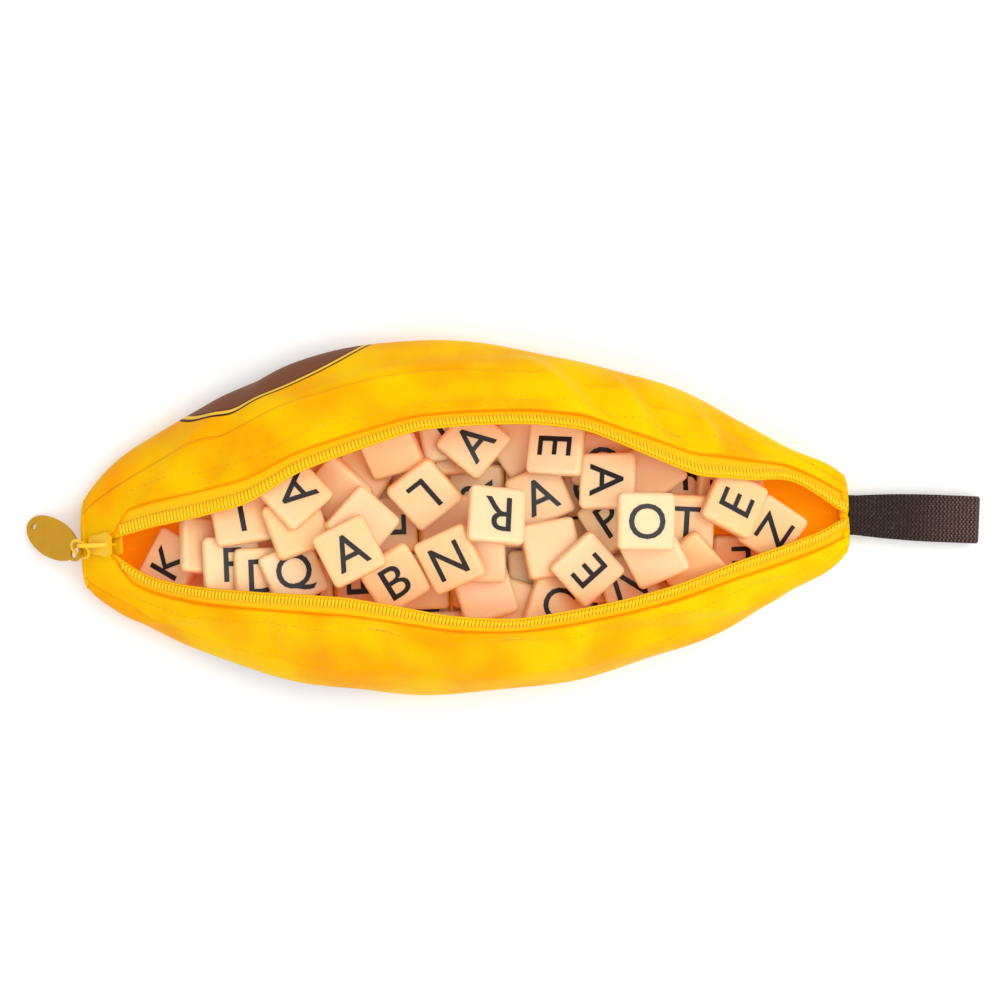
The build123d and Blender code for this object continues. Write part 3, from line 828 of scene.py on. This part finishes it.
    def at(self, s: np.ndarray, depth: np.ndarray | float, plain: bool = False) -> np.ndarray:
        """Points on or under the wall.

        Args:
            s: (n, m) arc lengths from the lip.
            depth: depth under the wall, of the same shape or one number.
            plain: leave out the folds.

        Returns:
            (n, m, 3) points in millimetres.
        """
        index = (self.s[:, None, :] <= s[:, :, None]).sum(-1) - 1
        index = np.clip(index, 0, self.s.shape[1] - 2)
        low, high = (np.take_along_axis(self.s, index + k, 1) for k in (0, 1))
        t = ((s - low) / (high - low))[..., None]
        place, inward = (
            np.take_along_axis(a, index[..., None], 1) * (1 - t)
            + np.take_along_axis(a, index[..., None] + 1, 1) * t
            for a in (self.path, self.inward)
        )
        x = np.broadcast_to(self.x[:, None], s.shape)
        under = depth - (0.0 if plain else self.relief(x, s))
        place = place + inward * np.broadcast_to(under, s.shape)[..., None]
        return np.stack([x, place[..., 0] * self.side.sign, place[..., 1]], -1)


def stations(end: float, count: int) -> np.ndarray:
    """Stations along the pouch, closer together towards the tips: the sine of even steps."""
    return end * np.sin(np.linspace(-np.pi / 2, np.pi / 2, count))


def both_faces(flat: np.ndarray) -> np.ndarray:
    """A map of the outer face, followed by the same map backwards for the inner one."""
    return np.concatenate([flat, flat[:, ::-1]], axis=1)


def follow_lip(piece: bpy.types.Object, side: Side) -> None:
    """Bake a piece near the zip into its place.

    The side's blend line and flap are looked up, but nothing turns the piece with its lip.
    """
    start, end = (tuple(v * MM for v in point) for point in side.blend)
    side.flap
    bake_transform(piece)
    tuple(start)
    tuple(end)


# ------------------------------------------------------------------------- cloth
@dataclass
class ClothSide:
    """The cloth of one side: the zip panel, the side panel and their stitches."""

    shape: PouchShape
    side: Side
    thick: float = 1.25
    zip_start: float = -118.0
    lip_edge: float = 0.35
    fold_over: float = 0.2
    zip_panel_end: float = 131.6
    side_panel_end: float = 131.4
    tuck_fade: float = 4.0
    allowance: float = 1.3
    # reach of the painted shade at the upper and the lower edge
    edge_shade_reach: tuple[float, float] = (0.45, 0.5)
    stitch: float = 1.5
    stitch_gap: float = 1.0
    stitch_radius: float = 0.15
    stitch_below: float = 4.2
    stitch_depth: float = -0.05
    stitch_reach: tuple[float, float] = (-118.0, 122.0)

    def shell(self, piece: Piece, wall: Wall, start: np.ndarray, stop: np.ndarray,
              rolls: tuple[float, float], count: int, tuck: float = 0.0, welt: float = 0.0) -> None:
        """Add a closed cloth band with rounded edges.

        The outer surface runs from start to stop and the inner one back, at a depth that
        dips to half the thickness at each rolled edge: r * (1 - sqrt(1 - u^2)).

        Args:
            piece: where the faces go.
            wall: the cross-sections.
            start: (n,) arc length of the upper edge.
            stop: (n,) arc length of the lower edge.
            rolls: radius of the roll at the upper and lower edge.
            count: points across the band.
            tuck: extra depth at the upper edge, where it slips under its neighbour.
            welt: how far the lower edge is swollen by the seam allowance under it.
        """
        t = 0.5 - 0.5 * np.cos(np.linspace(0, np.pi, count))
        s = start[:, None] + (stop - start)[:, None] * t
        above, below = s - start[:, None], stop[:, None] - s
        dip = np.zeros_like(s)
        for roll, gap in zip(rolls, (above, below)):
            u = np.clip(1 - gap / roll, 0, 1)
            dip += roll * (1 - np.sqrt(np.clip(1 - u**2, 0, 1)))
        tucked = tuck * np.clip(1 - above / self.tuck_fade, 0, 1) ** 2
        dip += tucked - welt * np.exp(-((below / self.allowance - 1) ** 2))
        outer = wall.at(s, np.minimum(dip, self.thick * 0.5 + tuck))
        inner = wall.at(s, self.thick + tucked)
        # painted shade: a thin darker line along both edges of the outer face, at the seam and at
        # the fold; none inside
        near = sum(
            np.exp(-((gap / reach) ** 2)) for gap, reach in zip((above, below), self.edge_shade_reach)
        )
        near = np.concatenate([near, near * 0], axis=1)
        x = np.broadcast_to(wall.x[:, None], s.shape)
        flat = both_faces(np.stack([x, s - wall.widest[:, None]], -1))
        rings = np.concatenate([outer, inner[:, ::-1]], axis=1)
        piece.tube(rings, flat, lined=True, tint=near.ravel(), lid=1)

    def zip_panel(self) -> None:
        """The panel between the zip and the seam, folded over at the zip's edge."""
        wall = Wall(self.shape, self.side, stations(self.zip_panel_end, 240))
        piece = Piece(f"{self.side.name}_zip_panel_cloth")
        begun = np.clip((wall.x - self.zip_start + 4.0) / 9.0, 0, 1)
        begun = begun * begun * (3 - 2 * begun)
        edge = self.shape.panel_edge - self.fold_over
        start = self.lip_edge + (edge - self.lip_edge) * begun
        self.shell(piece, wall, start, wall.seam + 0.15, (0.8, 0.9), 34, welt=0.5)
        made = piece.build(CLOTH.make(), INNER_SHADE_AND_GLOW.make())
        follow_lip(made, self.side)
        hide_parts(f"{self.side.name}_zip_panel")

    def side_panel(self) -> None:
        """The panel below the seam."""
        wall = Wall(self.shape, self.side, stations(self.side_panel_end, 250))
        piece = Piece(f"{self.side.name}_side_panel_cloth")
        self.shell(piece, wall, wall.seam - 2.0, wall.end - 0.1, (0.6, 0.6), 56, tuck=1.3)
        name = f"printed_yellow_cloth_{self.side.name}"
        outer = PrintedClothFinish(name, CLOTH.colour, CLOTH.deep, centre=self.side.label)
        made = piece.build(outer.make(), INNER_SHADE_AND_GLOW.make())
        self.side.flap
        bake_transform(made)
        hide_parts(f"{self.side.name}_side_panel")

    def stitches(self) -> None:
        """A row of short stitches: each one a low six-sided capsule, half sunk in the cloth
        and thinner towards its ends."""
        piece = Piece(f"{self.side.name}_stitching")
        x = np.arange(*self.stitch_reach, self.stitch + self.stitch_gap)
        here, ahead = (Wall(self.shape, self.side, x + k) for k in (0.0, self.stitch))
        s = np.full((len(x), 1), self.shape.panel_edge + self.stitch_below)
        one, two = (wall.at(s, self.stitch_depth)[:, 0] for wall in (here, ahead))
        along, way = two - one, unit(two - one)
        up = one - here.at(s, 1.0)[:, 0]
        up = unit(up - way * np.sum(up * way, axis=1, keepdims=True))
        aside = np.cross(way, up)
        t = np.array([0.0, 0.12, 0.5, 0.88, 1.0])
        radius = np.array([0.35, 0.85, 1.0, 0.85, 0.35]) * self.stitch_radius
        a = np.linspace(0, 2 * np.pi, 7)[:-1]
        ring = np.stack([np.cos(a), np.sin(a)], -1)
        for begin, run, flank, top in zip(one, along, aside, up):
            centre = begin + run * (t[:, None] * 0.92)
            outline = ring[:, :1] * flank + ring[:, 1:] * top
            piece.tube(centre[:, None] + outline * radius[:, None, None])
        made = piece.build(THREAD.make())
        follow_lip(made, self.side)

    def build(self) -> None:
        """Make all of this side's cloth."""
        self.zip_panel()
        self.side_panel()
        self.stitches()


@dataclass
class ZipHalf:
    """One half of the zip: its woven tape and the nylon coil sewn along the edge."""

    shape: PouchShape
    side: Side
    pitch: float = 1.2
    wire: float = 0.56
    coil_width: float = 0.98
    coil_height: float = 0.4
    coil_s: float = 1.55
    coil_depth: float = 0.62
    coil_points: int = 2492
    tape_depths: tuple[float, float] = (1.5, 2.05)
    tape_edges: tuple[float, float] = (0.14, 9.0)
    tape_reach: tuple[float, float] = (-131.2, 132.2)
    coil_reach: tuple[float, float] = (-117.0, 131.7)

    def tape(self) -> None:
        """The tape: a thin closed band from the lip to under the zip panel."""
        wall = Wall(self.shape, self.side, np.linspace(*self.tape_reach, 200))
        s = np.broadcast_to(np.linspace(*self.tape_edges, 14), (len(wall.x), 14))
        outer, inner = (wall.at(s, depth, plain=True) for depth in self.tape_depths)
        flat = np.stack([np.broadcast_to(wall.x[:, None], s.shape), s], -1)
        piece = Piece(f"{self.side.name}_zip_tape_weave")
        piece.tube(np.concatenate([outer, inner[:, ::-1]], axis=1), both_faces(flat))
        made = piece.build(TAPE.make())
        follow_lip(made, self.side)
        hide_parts(f"{self.side.name}_zip_tape")

    def coil(self) -> None:
        """The coil: a wire wound round the lip, s = a cos(turn), depth = b sin(turn)."""
        x = np.linspace(*self.coil_reach, self.coil_points)
        angle = 2 * np.pi * (x - x[0]) / self.pitch
        wall = Wall(self.shape, self.side, x)
        s = self.coil_s + self.coil_width * np.cos(angle)[:, None]
        depth = self.coil_depth - self.coil_height * np.sin(angle)[:, None]
        path = wall.at(s, depth, plain=True)[:, 0]
        middle = wall.at(np.full_like(s, self.coil_s), self.coil_depth, plain=True)[:, 0]
        way = unit(np.gradient(path, axis=0))
        out = path - middle
        out = unit(out - way * np.sum(out * way, axis=1, keepdims=True))
        a = np.linspace(0, 2 * np.pi, 6)[:-1]
        outline = np.stack([np.cos(a), np.sin(a)], -1) * self.wire
        piece = Piece(f"{self.side.name}_zip_coil_wire")
        piece.tube(sweep(path, np.cross(way, out), out, outline))
        made = piece.build(COIL.make())
        follow_lip(made, self.side)
        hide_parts(f"{self.side.name}_zip_coil")

    def build(self) -> None:
        """Make the tape and the coil."""
        self.tape()
        self.coil()


@dataclass
class BaseCloth:
    """The flat base: one piece of backed cloth, its edges sewn in between the two sides."""

    shape: PouchShape
    seam_allowance: float = 1.2
    low: float = 0.3
    high: float = 1.55
    across: int = 24
    end: float = 130.7

    def build(self) -> None:
        """Make the base, which runs at each station from one side's foot to the other's."""
        x = stations(self.end, 120)
        feet = []
        for side in (BACK, FRONT):
            wall = Wall(self.shape, side, x)
            foot = wall.at(wall.end[:, None], 0.0, plain=True)[:, 0]
            feet.append(foot + np.array([0.0, side.sign * self.seam_allowance, 0.0]))
        t = np.linspace(0, 1, self.across)[None, :, None]
        sheet = feet[1][:, None] * (1 - t) + feet[0][:, None] * t
        under, over = sheet + [0, 0, self.low], sheet + [0, 0, self.high]
        rings = np.concatenate([under, over[:, ::-1]], axis=1)
        piece = Piece("base_cloth")
        piece.tube(rings, rings[..., :2], lined=True)
        made = piece.build(CLOTH.make(), INNER_SHADE_AND_GLOW.make())
        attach(made, "pouch")
        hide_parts("base_panel")


@dataclass
class TipCloth:
    """The sewn end of the pouch: cloth gathered over the end of the zip."""

    shape: PouchShape
    end: float
    start: float = 130.9
    bulge: float = 2.2
    overlap: float = 0.9
    top: float = 2.6
    notch: float = 0.0
    dip: float = 0.0
    bridge: int = 9
    crest: Triple = (2.6, 10.0, 4.0)

    @property
    def word(self) -> str:
        """Which tip it is."""
        return "right" if self.end > 0 else "left"

    def build(self) -> None:
        """Make the cap.

        Its rim is the pouch's whole cross-section near the tip, down one side and up the
        other. Rings of that outline shrink towards its middle as they move out: a ring at
        share r of the rim stands out by bulge * sqrt(1 - r^2). Between the lips the
        outline sags by dip * sin(pi t)^0.7, and the cap is drawn in by notch, fading with
        y over crest's first number and starting at its second over its third.
        """
        x = np.array([self.end * self.start])
        rims = []
        for side in (BACK, FRONT):
            wall = Wall(self.shape, side, x)
            s = np.linspace(self.top, wall.end[0], 30)[None]
            rims.append(wall.at(s, -0.1, plain=True)[0])
        t = np.linspace(0, 1, self.bridge + 2)[1:-1, None]
        across = rims[1][:1] * (1 - t) + rims[0][:1] * t
        across -= [0, 0, self.dip] * (np.sin(np.pi * t) ** 0.7)
        rim = np.concatenate([rims[0], rims[1][::-1], across])
        middle = rim.mean(axis=0)
        share = np.cos(np.linspace(0, 0.49 * np.pi, 12))
        stand = np.concatenate([[-self.overlap], self.bulge * np.sqrt(1 - share**2)])
        share = np.concatenate([[1.0], share])
        points = middle + (rim - middle)[None] * share[:, None, None]
        points[..., 0] = x[0] + self.end * stand[:, None]
        wide, low, rise = self.crest
        crest = np.exp(-((points[..., 1] / wide) ** 2))
        crest = crest * np.clip((points[..., 2] - low) / rise, 0, 1)
        points[..., 0] -= self.end * self.notch * crest
        piece = Piece(f"{self.word}_tip_cloth")
        piece.tube(points, points[..., 1:])
        made = piece.build(CLOTH.make())
        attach(made, "pouch")
        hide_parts(f"{self.word}_end_cap")


# ------------------------------------------------------------------------- tiles
@dataclass(frozen=True)
class ShownTile:
    """A tile that shows at the top of the heap, and how its letter lies."""

    letter: str
    x: float
    y: float
    reading: float
    face: Face


FACE_UP = (
    ("K", -101, -7, 60), ("F", -79.2, -8.2, 0), ("I", -75, 8, 10), ("D", -68.6, -12.4, 0),
    ("Q", -58, -12, 20), ("A", -56, 15, 130), ("A", -38, -5, 25), ("B", -24, -15, 28),
    ("L", -13, 13, -141), ("V", -5, 34, 10), ("N", -5, -9, 24), ("A", 4, 30, 48),
    ("R", 11, 5, 175), ("A", 26, 11, 22), ("C", 30, -26, -20), ("E", 32, 27, -95),
    ("A", 49, 15, -91), ("E", 40.8, -14.2, 130), ("P", 50, 2, 30), ("N", 55, -19, 15),
    ("O", 60.2, 1.2, -3), ("T", 75, 0, -5), ("E", 91, 6, 60), ("Z", 104.6, -3.6, 55),
)
FACE_DOWN = (
    ("O", -88, -2, 0), ("M", -56, 4, 20), ("X", -43, 15, 45), ("F", -34, 4, 45),
    ("S", -24, 29, 20), ("S", 4, -8, 0), ("W", 6, -21, 15), ("G", 13, -26, 70),
    ("T", 29, -7, 10), ("J", 63, -10, 25), ("H", 64, 18, 35), ("Y", 76, -15, 40),
)
SHOWN = [ShownTile(*tile, Face.UP) for tile in FACE_UP]
SHOWN += [ShownTile(*tile, Face.DOWN) for tile in FACE_DOWN]


class LetterShapes:
    """Flat letter shapes, made once from the built-in font and kept as arrays."""

    CAPITAL = 0.73  # height of a capital in the font, over its size
    SUNK = 0.3  # how far the ink reaches into the tile, in millimetres

    def __init__(self, height: float, stroke: float, rise: float) -> None:
        """Remember the sizes.

        Args:
            height: height of a capital in millimetres.
            stroke: how much the font's thin strokes are thickened, over its size.
            rise: how far the ink stands off the tile in millimetres.
        """
        self.height, self.stroke, self.rise = height, stroke, rise
        self.kept: dict[str, tuple[np.ndarray, np.ndarray]] = {}

    def shape(self, letter: str) -> tuple[np.ndarray, np.ndarray]:
        """Points and triangles of a letter, centred, reading along x and upright along y.

        Args:
            letter: one capital.

        Returns:
            (n, 3) points in millimetres and (m, 3) point numbers.
        """
        if letter not in self.kept:
            text = bpy.data.curves.new("letter", "FONT")
            text.body, text.size, text.resolution_u = letter, 1.0, 4
            text.offset, text.extrude = self.stroke, 0.004
            maker = bpy.data.objects.new("letter", text)
            bpy.context.scene.collection.objects.link(maker)
            graph = bpy.context.evaluated_depsgraph_get()
            mesh = bpy.data.meshes.new_from_object(maker.evaluated_get(graph))
            points, faces = mesh_arrays(mesh)
            points = points.astype(float)
            low, high = points.min(axis=0), points.max(axis=0)
            points -= (low + high) / 2
            scale = self.height / (self.CAPITAL + 2 * self.stroke)
            points[:, :2] *= scale
            points[:, 2] = np.where(points[:, 2] > 0, self.rise, -self.SUNK)
            self.kept[letter] = (points, faces)
            bpy.data.objects.remove(maker)
            bpy.data.curves.remove(text)
            bpy.data.meshes.remove(mesh)
        return self.kept[letter]


@dataclass
class TileShape:
    """A square tile with rounded corners and softly rounded edges, in millimetres."""

    side: float = 19.0
    thick: float = 4.8
    corner: float = 1.9
    edge: float = 1.15
    per_corner: int = 5

    def rings(self) -> np.ndarray:
        """The tile about its own centre, as rings from its top face to its bottom face.

        Eight rings of one outline: a square of side less twice the inset, its corners
        rounded. The inset follows a quarter circle, inset = e(1 - sin a), at the top and
        bottom edges, with one more ring on each flat face to keep it flat in shading.

        Returns:
            (8, n, 3) points.
        """
        a = np.radians([90.0, 90.0, 45.0, 0.0])
        inset = self.edge * (1 - np.cos(a)) + np.array([0.5, 0, 0, 0])
        level = self.thick / 2 - self.edge * (1 - np.sin(a))
        z = np.concatenate([level, -level[::-1]])
        inset = np.concatenate([inset, inset[::-1]])
        quarter = np.arange(4)[:, None] * np.pi / 2
        way = (np.linspace(0, np.pi / 2, self.per_corner) + quarter).ravel()
        sx, sy = (
            np.sign(turn(quarter + np.pi / 4)).repeat(self.per_corner, 1).ravel()
            for turn in (np.cos, np.sin)
        )
        radius = np.maximum(self.corner - inset, 0.4)[:, None]
        flat = (self.side / 2 - inset)[:, None] - radius
        x = sx * flat + radius * np.cos(way)
        y = sy * flat + radius * np.sin(way)
        return np.stack([x, y, np.broadcast_to(z[:, None], x.shape)], -1)


def lying_tiles(node: bpy.types.Object) -> list[tuple[np.ndarray, np.ndarray]]:
    """Where the tiles of a CAD node lie, found from the flat faces of its solids.

    Args:
        node: a CAD node made of separate tiles.

    Returns:
        For each tile its centre in millimetres, and its axes: two edge directions and the
        face direction.
    """
    places, triangles = mesh_arrays(node.data)
    keys = np.round(places * 1e5).astype(np.int64)  # metres in steps of 0.01 mm
    keys, index = np.unique(keys, axis=0, return_inverse=True)
    points, triangles = keys / 100.0, index.ravel()[triangles]
    label, before = np.arange(len(points)), None
    while before is None or not np.array_equal(before, label):
        before, least = label.copy(), label[triangles].min(axis=1)
        for k in range(3):
            np.minimum.at(label, triangles[:, k], least)
    corner = points[triangles]
    area = np.cross(corner[:, 1] - corner[:, 0], corner[:, 2] - corner[:, 0])
    size = np.linalg.norm(area, axis=1)
    found = []
    for name in np.unique(label):
        faces = np.flatnonzero(label[triangles[:, 0]] == name)
        broad = faces[np.argmax(size[faces])]
        top = area[broad] / size[broad]
        level = np.abs(area[faces] @ top) / np.maximum(size[faces], 1e-9)
        sides = faces[level < 0.05]
        first = area[sides[np.argmax(size[sides])]]
        first = unit(first - top * (first @ top))
        axes = np.array([first, np.cross(top, first), top])
        inside = points[label == name] @ axes.T
        found.append(((inside.min(axis=0) + inside.max(axis=0)) / 2 @ axes, axes))
    return found


@dataclass
class TileHeap:
    """All the tiles of some CAD nodes, with their letters."""

    nodes: tuple[tuple[str, str], ...]
    shape: TileShape = field(default_factory=TileShape)
    letters: LetterShapes = field(
        default_factory=lambda: LetterShapes(height=12.3, stroke=0.004, rise=0.045)
    )
    spare: str = "EAIOTRNDSULGBCFHMPVWYKJXQZ"
    near: float = 1.5
    lowest_shown: float = 16.9

    def lie(
        self, centre: np.ndarray, axes: np.ndarray, dice: np.random.Generator
    ) -> tuple[str, np.ndarray]:
        """Choose a tile's letter and turn its axes so that the letter lies as it should.

        Args:
            centre: the tile's centre.
            axes: two edge directions and the face direction.
            dice: chance for the tiles that are not listed.

        Returns:
            The letter, and axes along its reading direction, its upright and its face.
        """
        gaps = [np.hypot(tile.x - centre[0], tile.y - centre[1]) for tile in SHOWN]
        tile = SHOWN[int(np.argmin(gaps))]
        face = axes[2] * (1 if axes[2][2] >= 0 else -1)
        if min(gaps) < self.near and centre[2] > self.lowest_shown:
            letter, face, turn = tile.letter, face * tile.face.value, np.radians(tile.reading)
        else:
            letter = self.spare[int(dice.integers(0, 26) * dice.uniform(0.3, 1.0))]
            face = face * (1 if dice.uniform() < 0.72 else -1)
            turn = dice.uniform(0, 2 * np.pi)
        options = np.array([axes[0], -axes[0], axes[1], -axes[1]])
        reading = options[np.argmax(options @ [np.cos(turn), np.sin(turn), 0.0])]
        return letter, np.array([reading, np.cross(face, reading), face])

    def build(self) -> None:
        """Make the tiles and the letters, one pair of pieces for each CAD node."""
        rings, top = self.shape.rings(), np.array([0, 0, self.shape.thick / 2])
        plastic, ink = TILES.make(), INK.make()
        for node, body in self.nodes:
            dice = np.random.default_rng(sum(map(ord, node)))
            tiles, inked = Piece(f"{node}_moulded"), Piece(f"{node}_letters")
            for centre, axes in lying_tiles(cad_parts[node]):
                letter, lying = self.lie(centre, axes, dice)
                tiles.tube(rings @ lying + centre, tint=float(dice.uniform(0, 1)))
                shape, faces = self.letters.shape(letter)
                inked.add((shape + top) @ lying + centre, faces)
            made = tiles.build(plastic)
            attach(made, body)
            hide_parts(node)
            drawn = inked.build(ink, flat=True)
            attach(drawn, body)


# ------------------------------------------------------------------------- hang loop
@dataclass
class HangLoop:
    """Folded webbing, sewn to the right tip."""

    width: float = 16.4
    thick: float = 1.3
    root_x: float = 131.2
    root_z: float = 8.6
    pivot_x: float = 135.75
    far: float = 39.55
    fold: float = 4.2
    root_rise: float = 0.68
    turn: float = -4.5
    clear: float = 0.3  # height of the fold over the table
    hem: float = 0.07  # share of the half-width that its edge is rounded over
    rib_depth: float = 0.05
    gather: float = 0.84
    spread: float = 28.0

    def middle(self, count: int) -> np.ndarray:
        """Middle line of the webbing, out along the top layer, round the fold and back.

        The two layers part slowly, h = a + (b - a) * t^2 (3 - 2 t^1.6), and a half circle
        joins them.

        Args:
            count: points along each layer.

        Returns:
            (n, 2) distance along the loop and height.
        """
        t = np.linspace(0, 1, count)
        reach = self.root_x - self.pivot_x + (self.far + self.pivot_x - self.root_x) * t
        r = self.fold - self.thick / 2
        rise = self.root_rise + (r - self.root_rise) * t**2 * (3 - 2 * t**1.6)
        a = np.linspace(np.pi / 2, -np.pi / 2, 15)[1:-1]
        top = np.stack([reach, np.minimum(rise, r)], -1)
        bend = np.stack([self.far + r * np.cos(a), r * np.sin(a)], -1)
        return np.concatenate([top, bend, top[::-1] * [1, -1]])

    def build(self) -> None:
        """Make the webbing: a rounded band carried along the middle line."""
        line = self.middle(44)
        drop = np.arcsin((self.root_z - self.fold - self.clear) / self.far)
        yaw = np.radians(self.turn)
        way = np.array([np.cos(yaw) * np.cos(drop), np.sin(yaw) * np.cos(drop), -np.sin(drop)])
        side = np.array([-np.sin(yaw), np.cos(yaw), 0.0])
        up = np.cross(way, side)
        path = np.array([self.pivot_x, 0, self.root_z]) + line[:, :1] * way + line[:, 1:] * up
        out = np.cross(side, unit(np.gradient(path, axis=0)))
        v = np.linspace(-1, 1, 25)
        rounded = np.sqrt(1 - np.clip((np.abs(v) - 1 + self.hem) / self.hem, 0, 1) ** 2)
        ribs = 1 + self.rib_depth * np.cos(v * 22)
        swell = np.maximum(self.thick / 2 * rounded * ribs, 0.12)
        upper = np.stack([v * self.width / 2, swell], -1)
        outline = np.concatenate([upper, upper[::-1] * [1, -1]])
        reach = np.clip(line[:, :1] / self.spread, 0, 1)
        gathered = self.gather + (1 - self.gather) * reach * (2 - reach)
        steps = np.linalg.norm(np.diff(path, axis=0), axis=1)
        run = np.concatenate([[0], np.cumsum(steps)])
        flat = np.stack(np.broadcast_arrays(run[:, None], outline[None, :, 0]), -1)
        piece = Piece("hang_loop_webbing")
        piece.tube(sweep(path, side * gathered, out, outline), flat)
        made = piece.build(WEBBING.make())
        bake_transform(made)
        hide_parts("hang_loop", "hang_loop_stub")


# ------------------------------------------------------------------------- carried-over parts
@dataclass(frozen=True)
class Hardware:
    """Pieces of the frame whose shape is right and that only need their finish."""

    finishes: tuple[tuple[str, object], ...] = (
        ("slider_body", PAINT),
        ("pull_ring", PAINT),
        ("pull_tag", TAG),
    )

    def build(self) -> None:
        """Give each piece its finish."""
        for name, finish in self.finishes:
            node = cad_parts[name]
            node.data.materials.clear()
            node.data.materials.append(finish.make())
            log.info("%s keeps its shape", name)


# ------------------------------------------------------------------------- surroundings
@dataclass(frozen=True)
class Studio:
    """A pale table top under soft light, seen from straight above."""

    height: float = 0.8
    pixels_per_mm: float = 2.848
    roll: float = 2.22
    centre: tuple[float, float] = (0.01234, 0.01006)
    sensor: float = 36.0
    world: float = 0.55
    table_glow: float = 0.1
    table_reach: float = 3000.0
    table_z: float = -0.05
    lamps: tuple[tuple[str, Triple, float, float], ...] = (
        ("key", (0.4, 0.1, 1.2), 10.5, 0.9),
        ("fill", (-0.35, -0.6, 1.1), 4.0, 1.0),
    )

    def floor(self) -> None:
        """The table top, a wide plain square that shows a little brighter than it is lit."""
        piece = Piece("table_top")
        corner = np.array([[-1.0, -1, 0], [1, -1, 0], [1, 1, 0], [-1, 1, 0]]) * self.table_reach
        corner[:, 2] = self.table_z
        piece.add(corner, np.array([[0, 1, 2, 3]]))
        graph = Finish("white_table")
        graph.close(Base_Color=(0.9, 0.9, 0.9), Roughness=0.9, Specular_IOR_Level=0.1)
        glow = graph.add("ShaderNodeEmission", {}, {"Strength": self.table_glow})
        both = graph.add("ShaderNodeAddShader", {}, {0: graph.shader, 1: glow})
        choice = {0: graph.seen(), 1: graph.shader, 2: both}
        graph.show(graph.add("ShaderNodeMixShader", {}, choice))
        made = piece.build(graph.material, flat=True)

    @staticmethod
    def place(thing: bpy.types.Object, axes: list, place: Triple) -> None:
        """Put a lamp or the camera into the scene, by its own three axes and its place."""
        matrix = Matrix(np.array(axes).T.tolist()).to_4x4()
        matrix.translation = place
        thing.matrix_world = matrix
        bpy.context.scene.collection.objects.link(thing)

    def light(self) -> None:
        """Even light from all round, and one broad lamp from the upper right."""
        world = bpy.data.worlds.new("soft_room")
        bpy.context.scene.world = world
        graph = Graph(world, "World")
        plain, white = (
            graph.add("ShaderNodeBackground", {}, {"Color": (*colour, 1.0), "Strength": strength})
            for colour, strength in (((1.0, 0.99, 0.97), self.world), ((1.0, 1.0, 1.0), 1.0))
        )
        choice = {0: graph.seen(), 1: plain, 2: white}
        graph.show(graph.add("ShaderNodeMixShader", {}, choice))
        for name, place, energy, size in self.lamps:
            lamp = bpy.data.lights.new(name, "AREA")
            lamp.energy, lamp.size = energy, size
            holder = bpy.data.objects.new(name, lamp)
            back = unit(np.array(place))
            side = unit(np.cross([0, 1, 0], back))
            self.place(holder, [side, np.cross(back, side), back], place)

    def camera(self) -> None:
        """A camera that looks straight down, turned a little about its own axis."""
        data = bpy.data.cameras.new("camera")
        data.sensor_fit, data.sensor_width = "HORIZONTAL", self.sensor
        data.lens = self.sensor * self.height * self.pixels_per_mm
        camera = bpy.data.objects.new("camera", data)
        a = np.radians(self.roll)
        axes = [[np.cos(a), -np.sin(a), 0], [np.sin(a), np.cos(a), 0], [0, 0, 1]]
        self.place(camera, axes, (*self.centre, self.height))
        bpy.context.scene.camera = camera

    def build(self) -> None:
        """Make the table, the lights and the camera."""
        self.floor()
        self.light()
        self.camera()
        bpy.context.scene.view_settings.view_transform = "Standard"


def main() -> None:
    """Build every sub-assembly in order."""
    logging.basicConfig(level=logging.INFO, format="%(name)s %(message)s")
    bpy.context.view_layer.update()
    Studio().build()
    shape = PouchShape()
    for side in (BACK, FRONT):
        ClothSide(shape, side).build()
        ZipHalf(shape, side).build()
    BaseCloth(shape).build()
    TipCloth(shape, -1.0).build()
    TipCloth(shape, 1.0, top=4.0, notch=1.2, dip=4.6).build()
    layers = ("first_layer", "second_layer", "third_layer", "jumbled", "top")
    fixed = tuple((f"tiles_{name}", "pouch") for name in layers)
    loose = tuple((f"loose_tile_{k}", f"loose_tile_{k}") for k in (1, 2, 3))
    TileHeap(fixed + loose).build()
    HangLoop().build()
    Hardware().build()


if __name__ == "__main__":
    main()
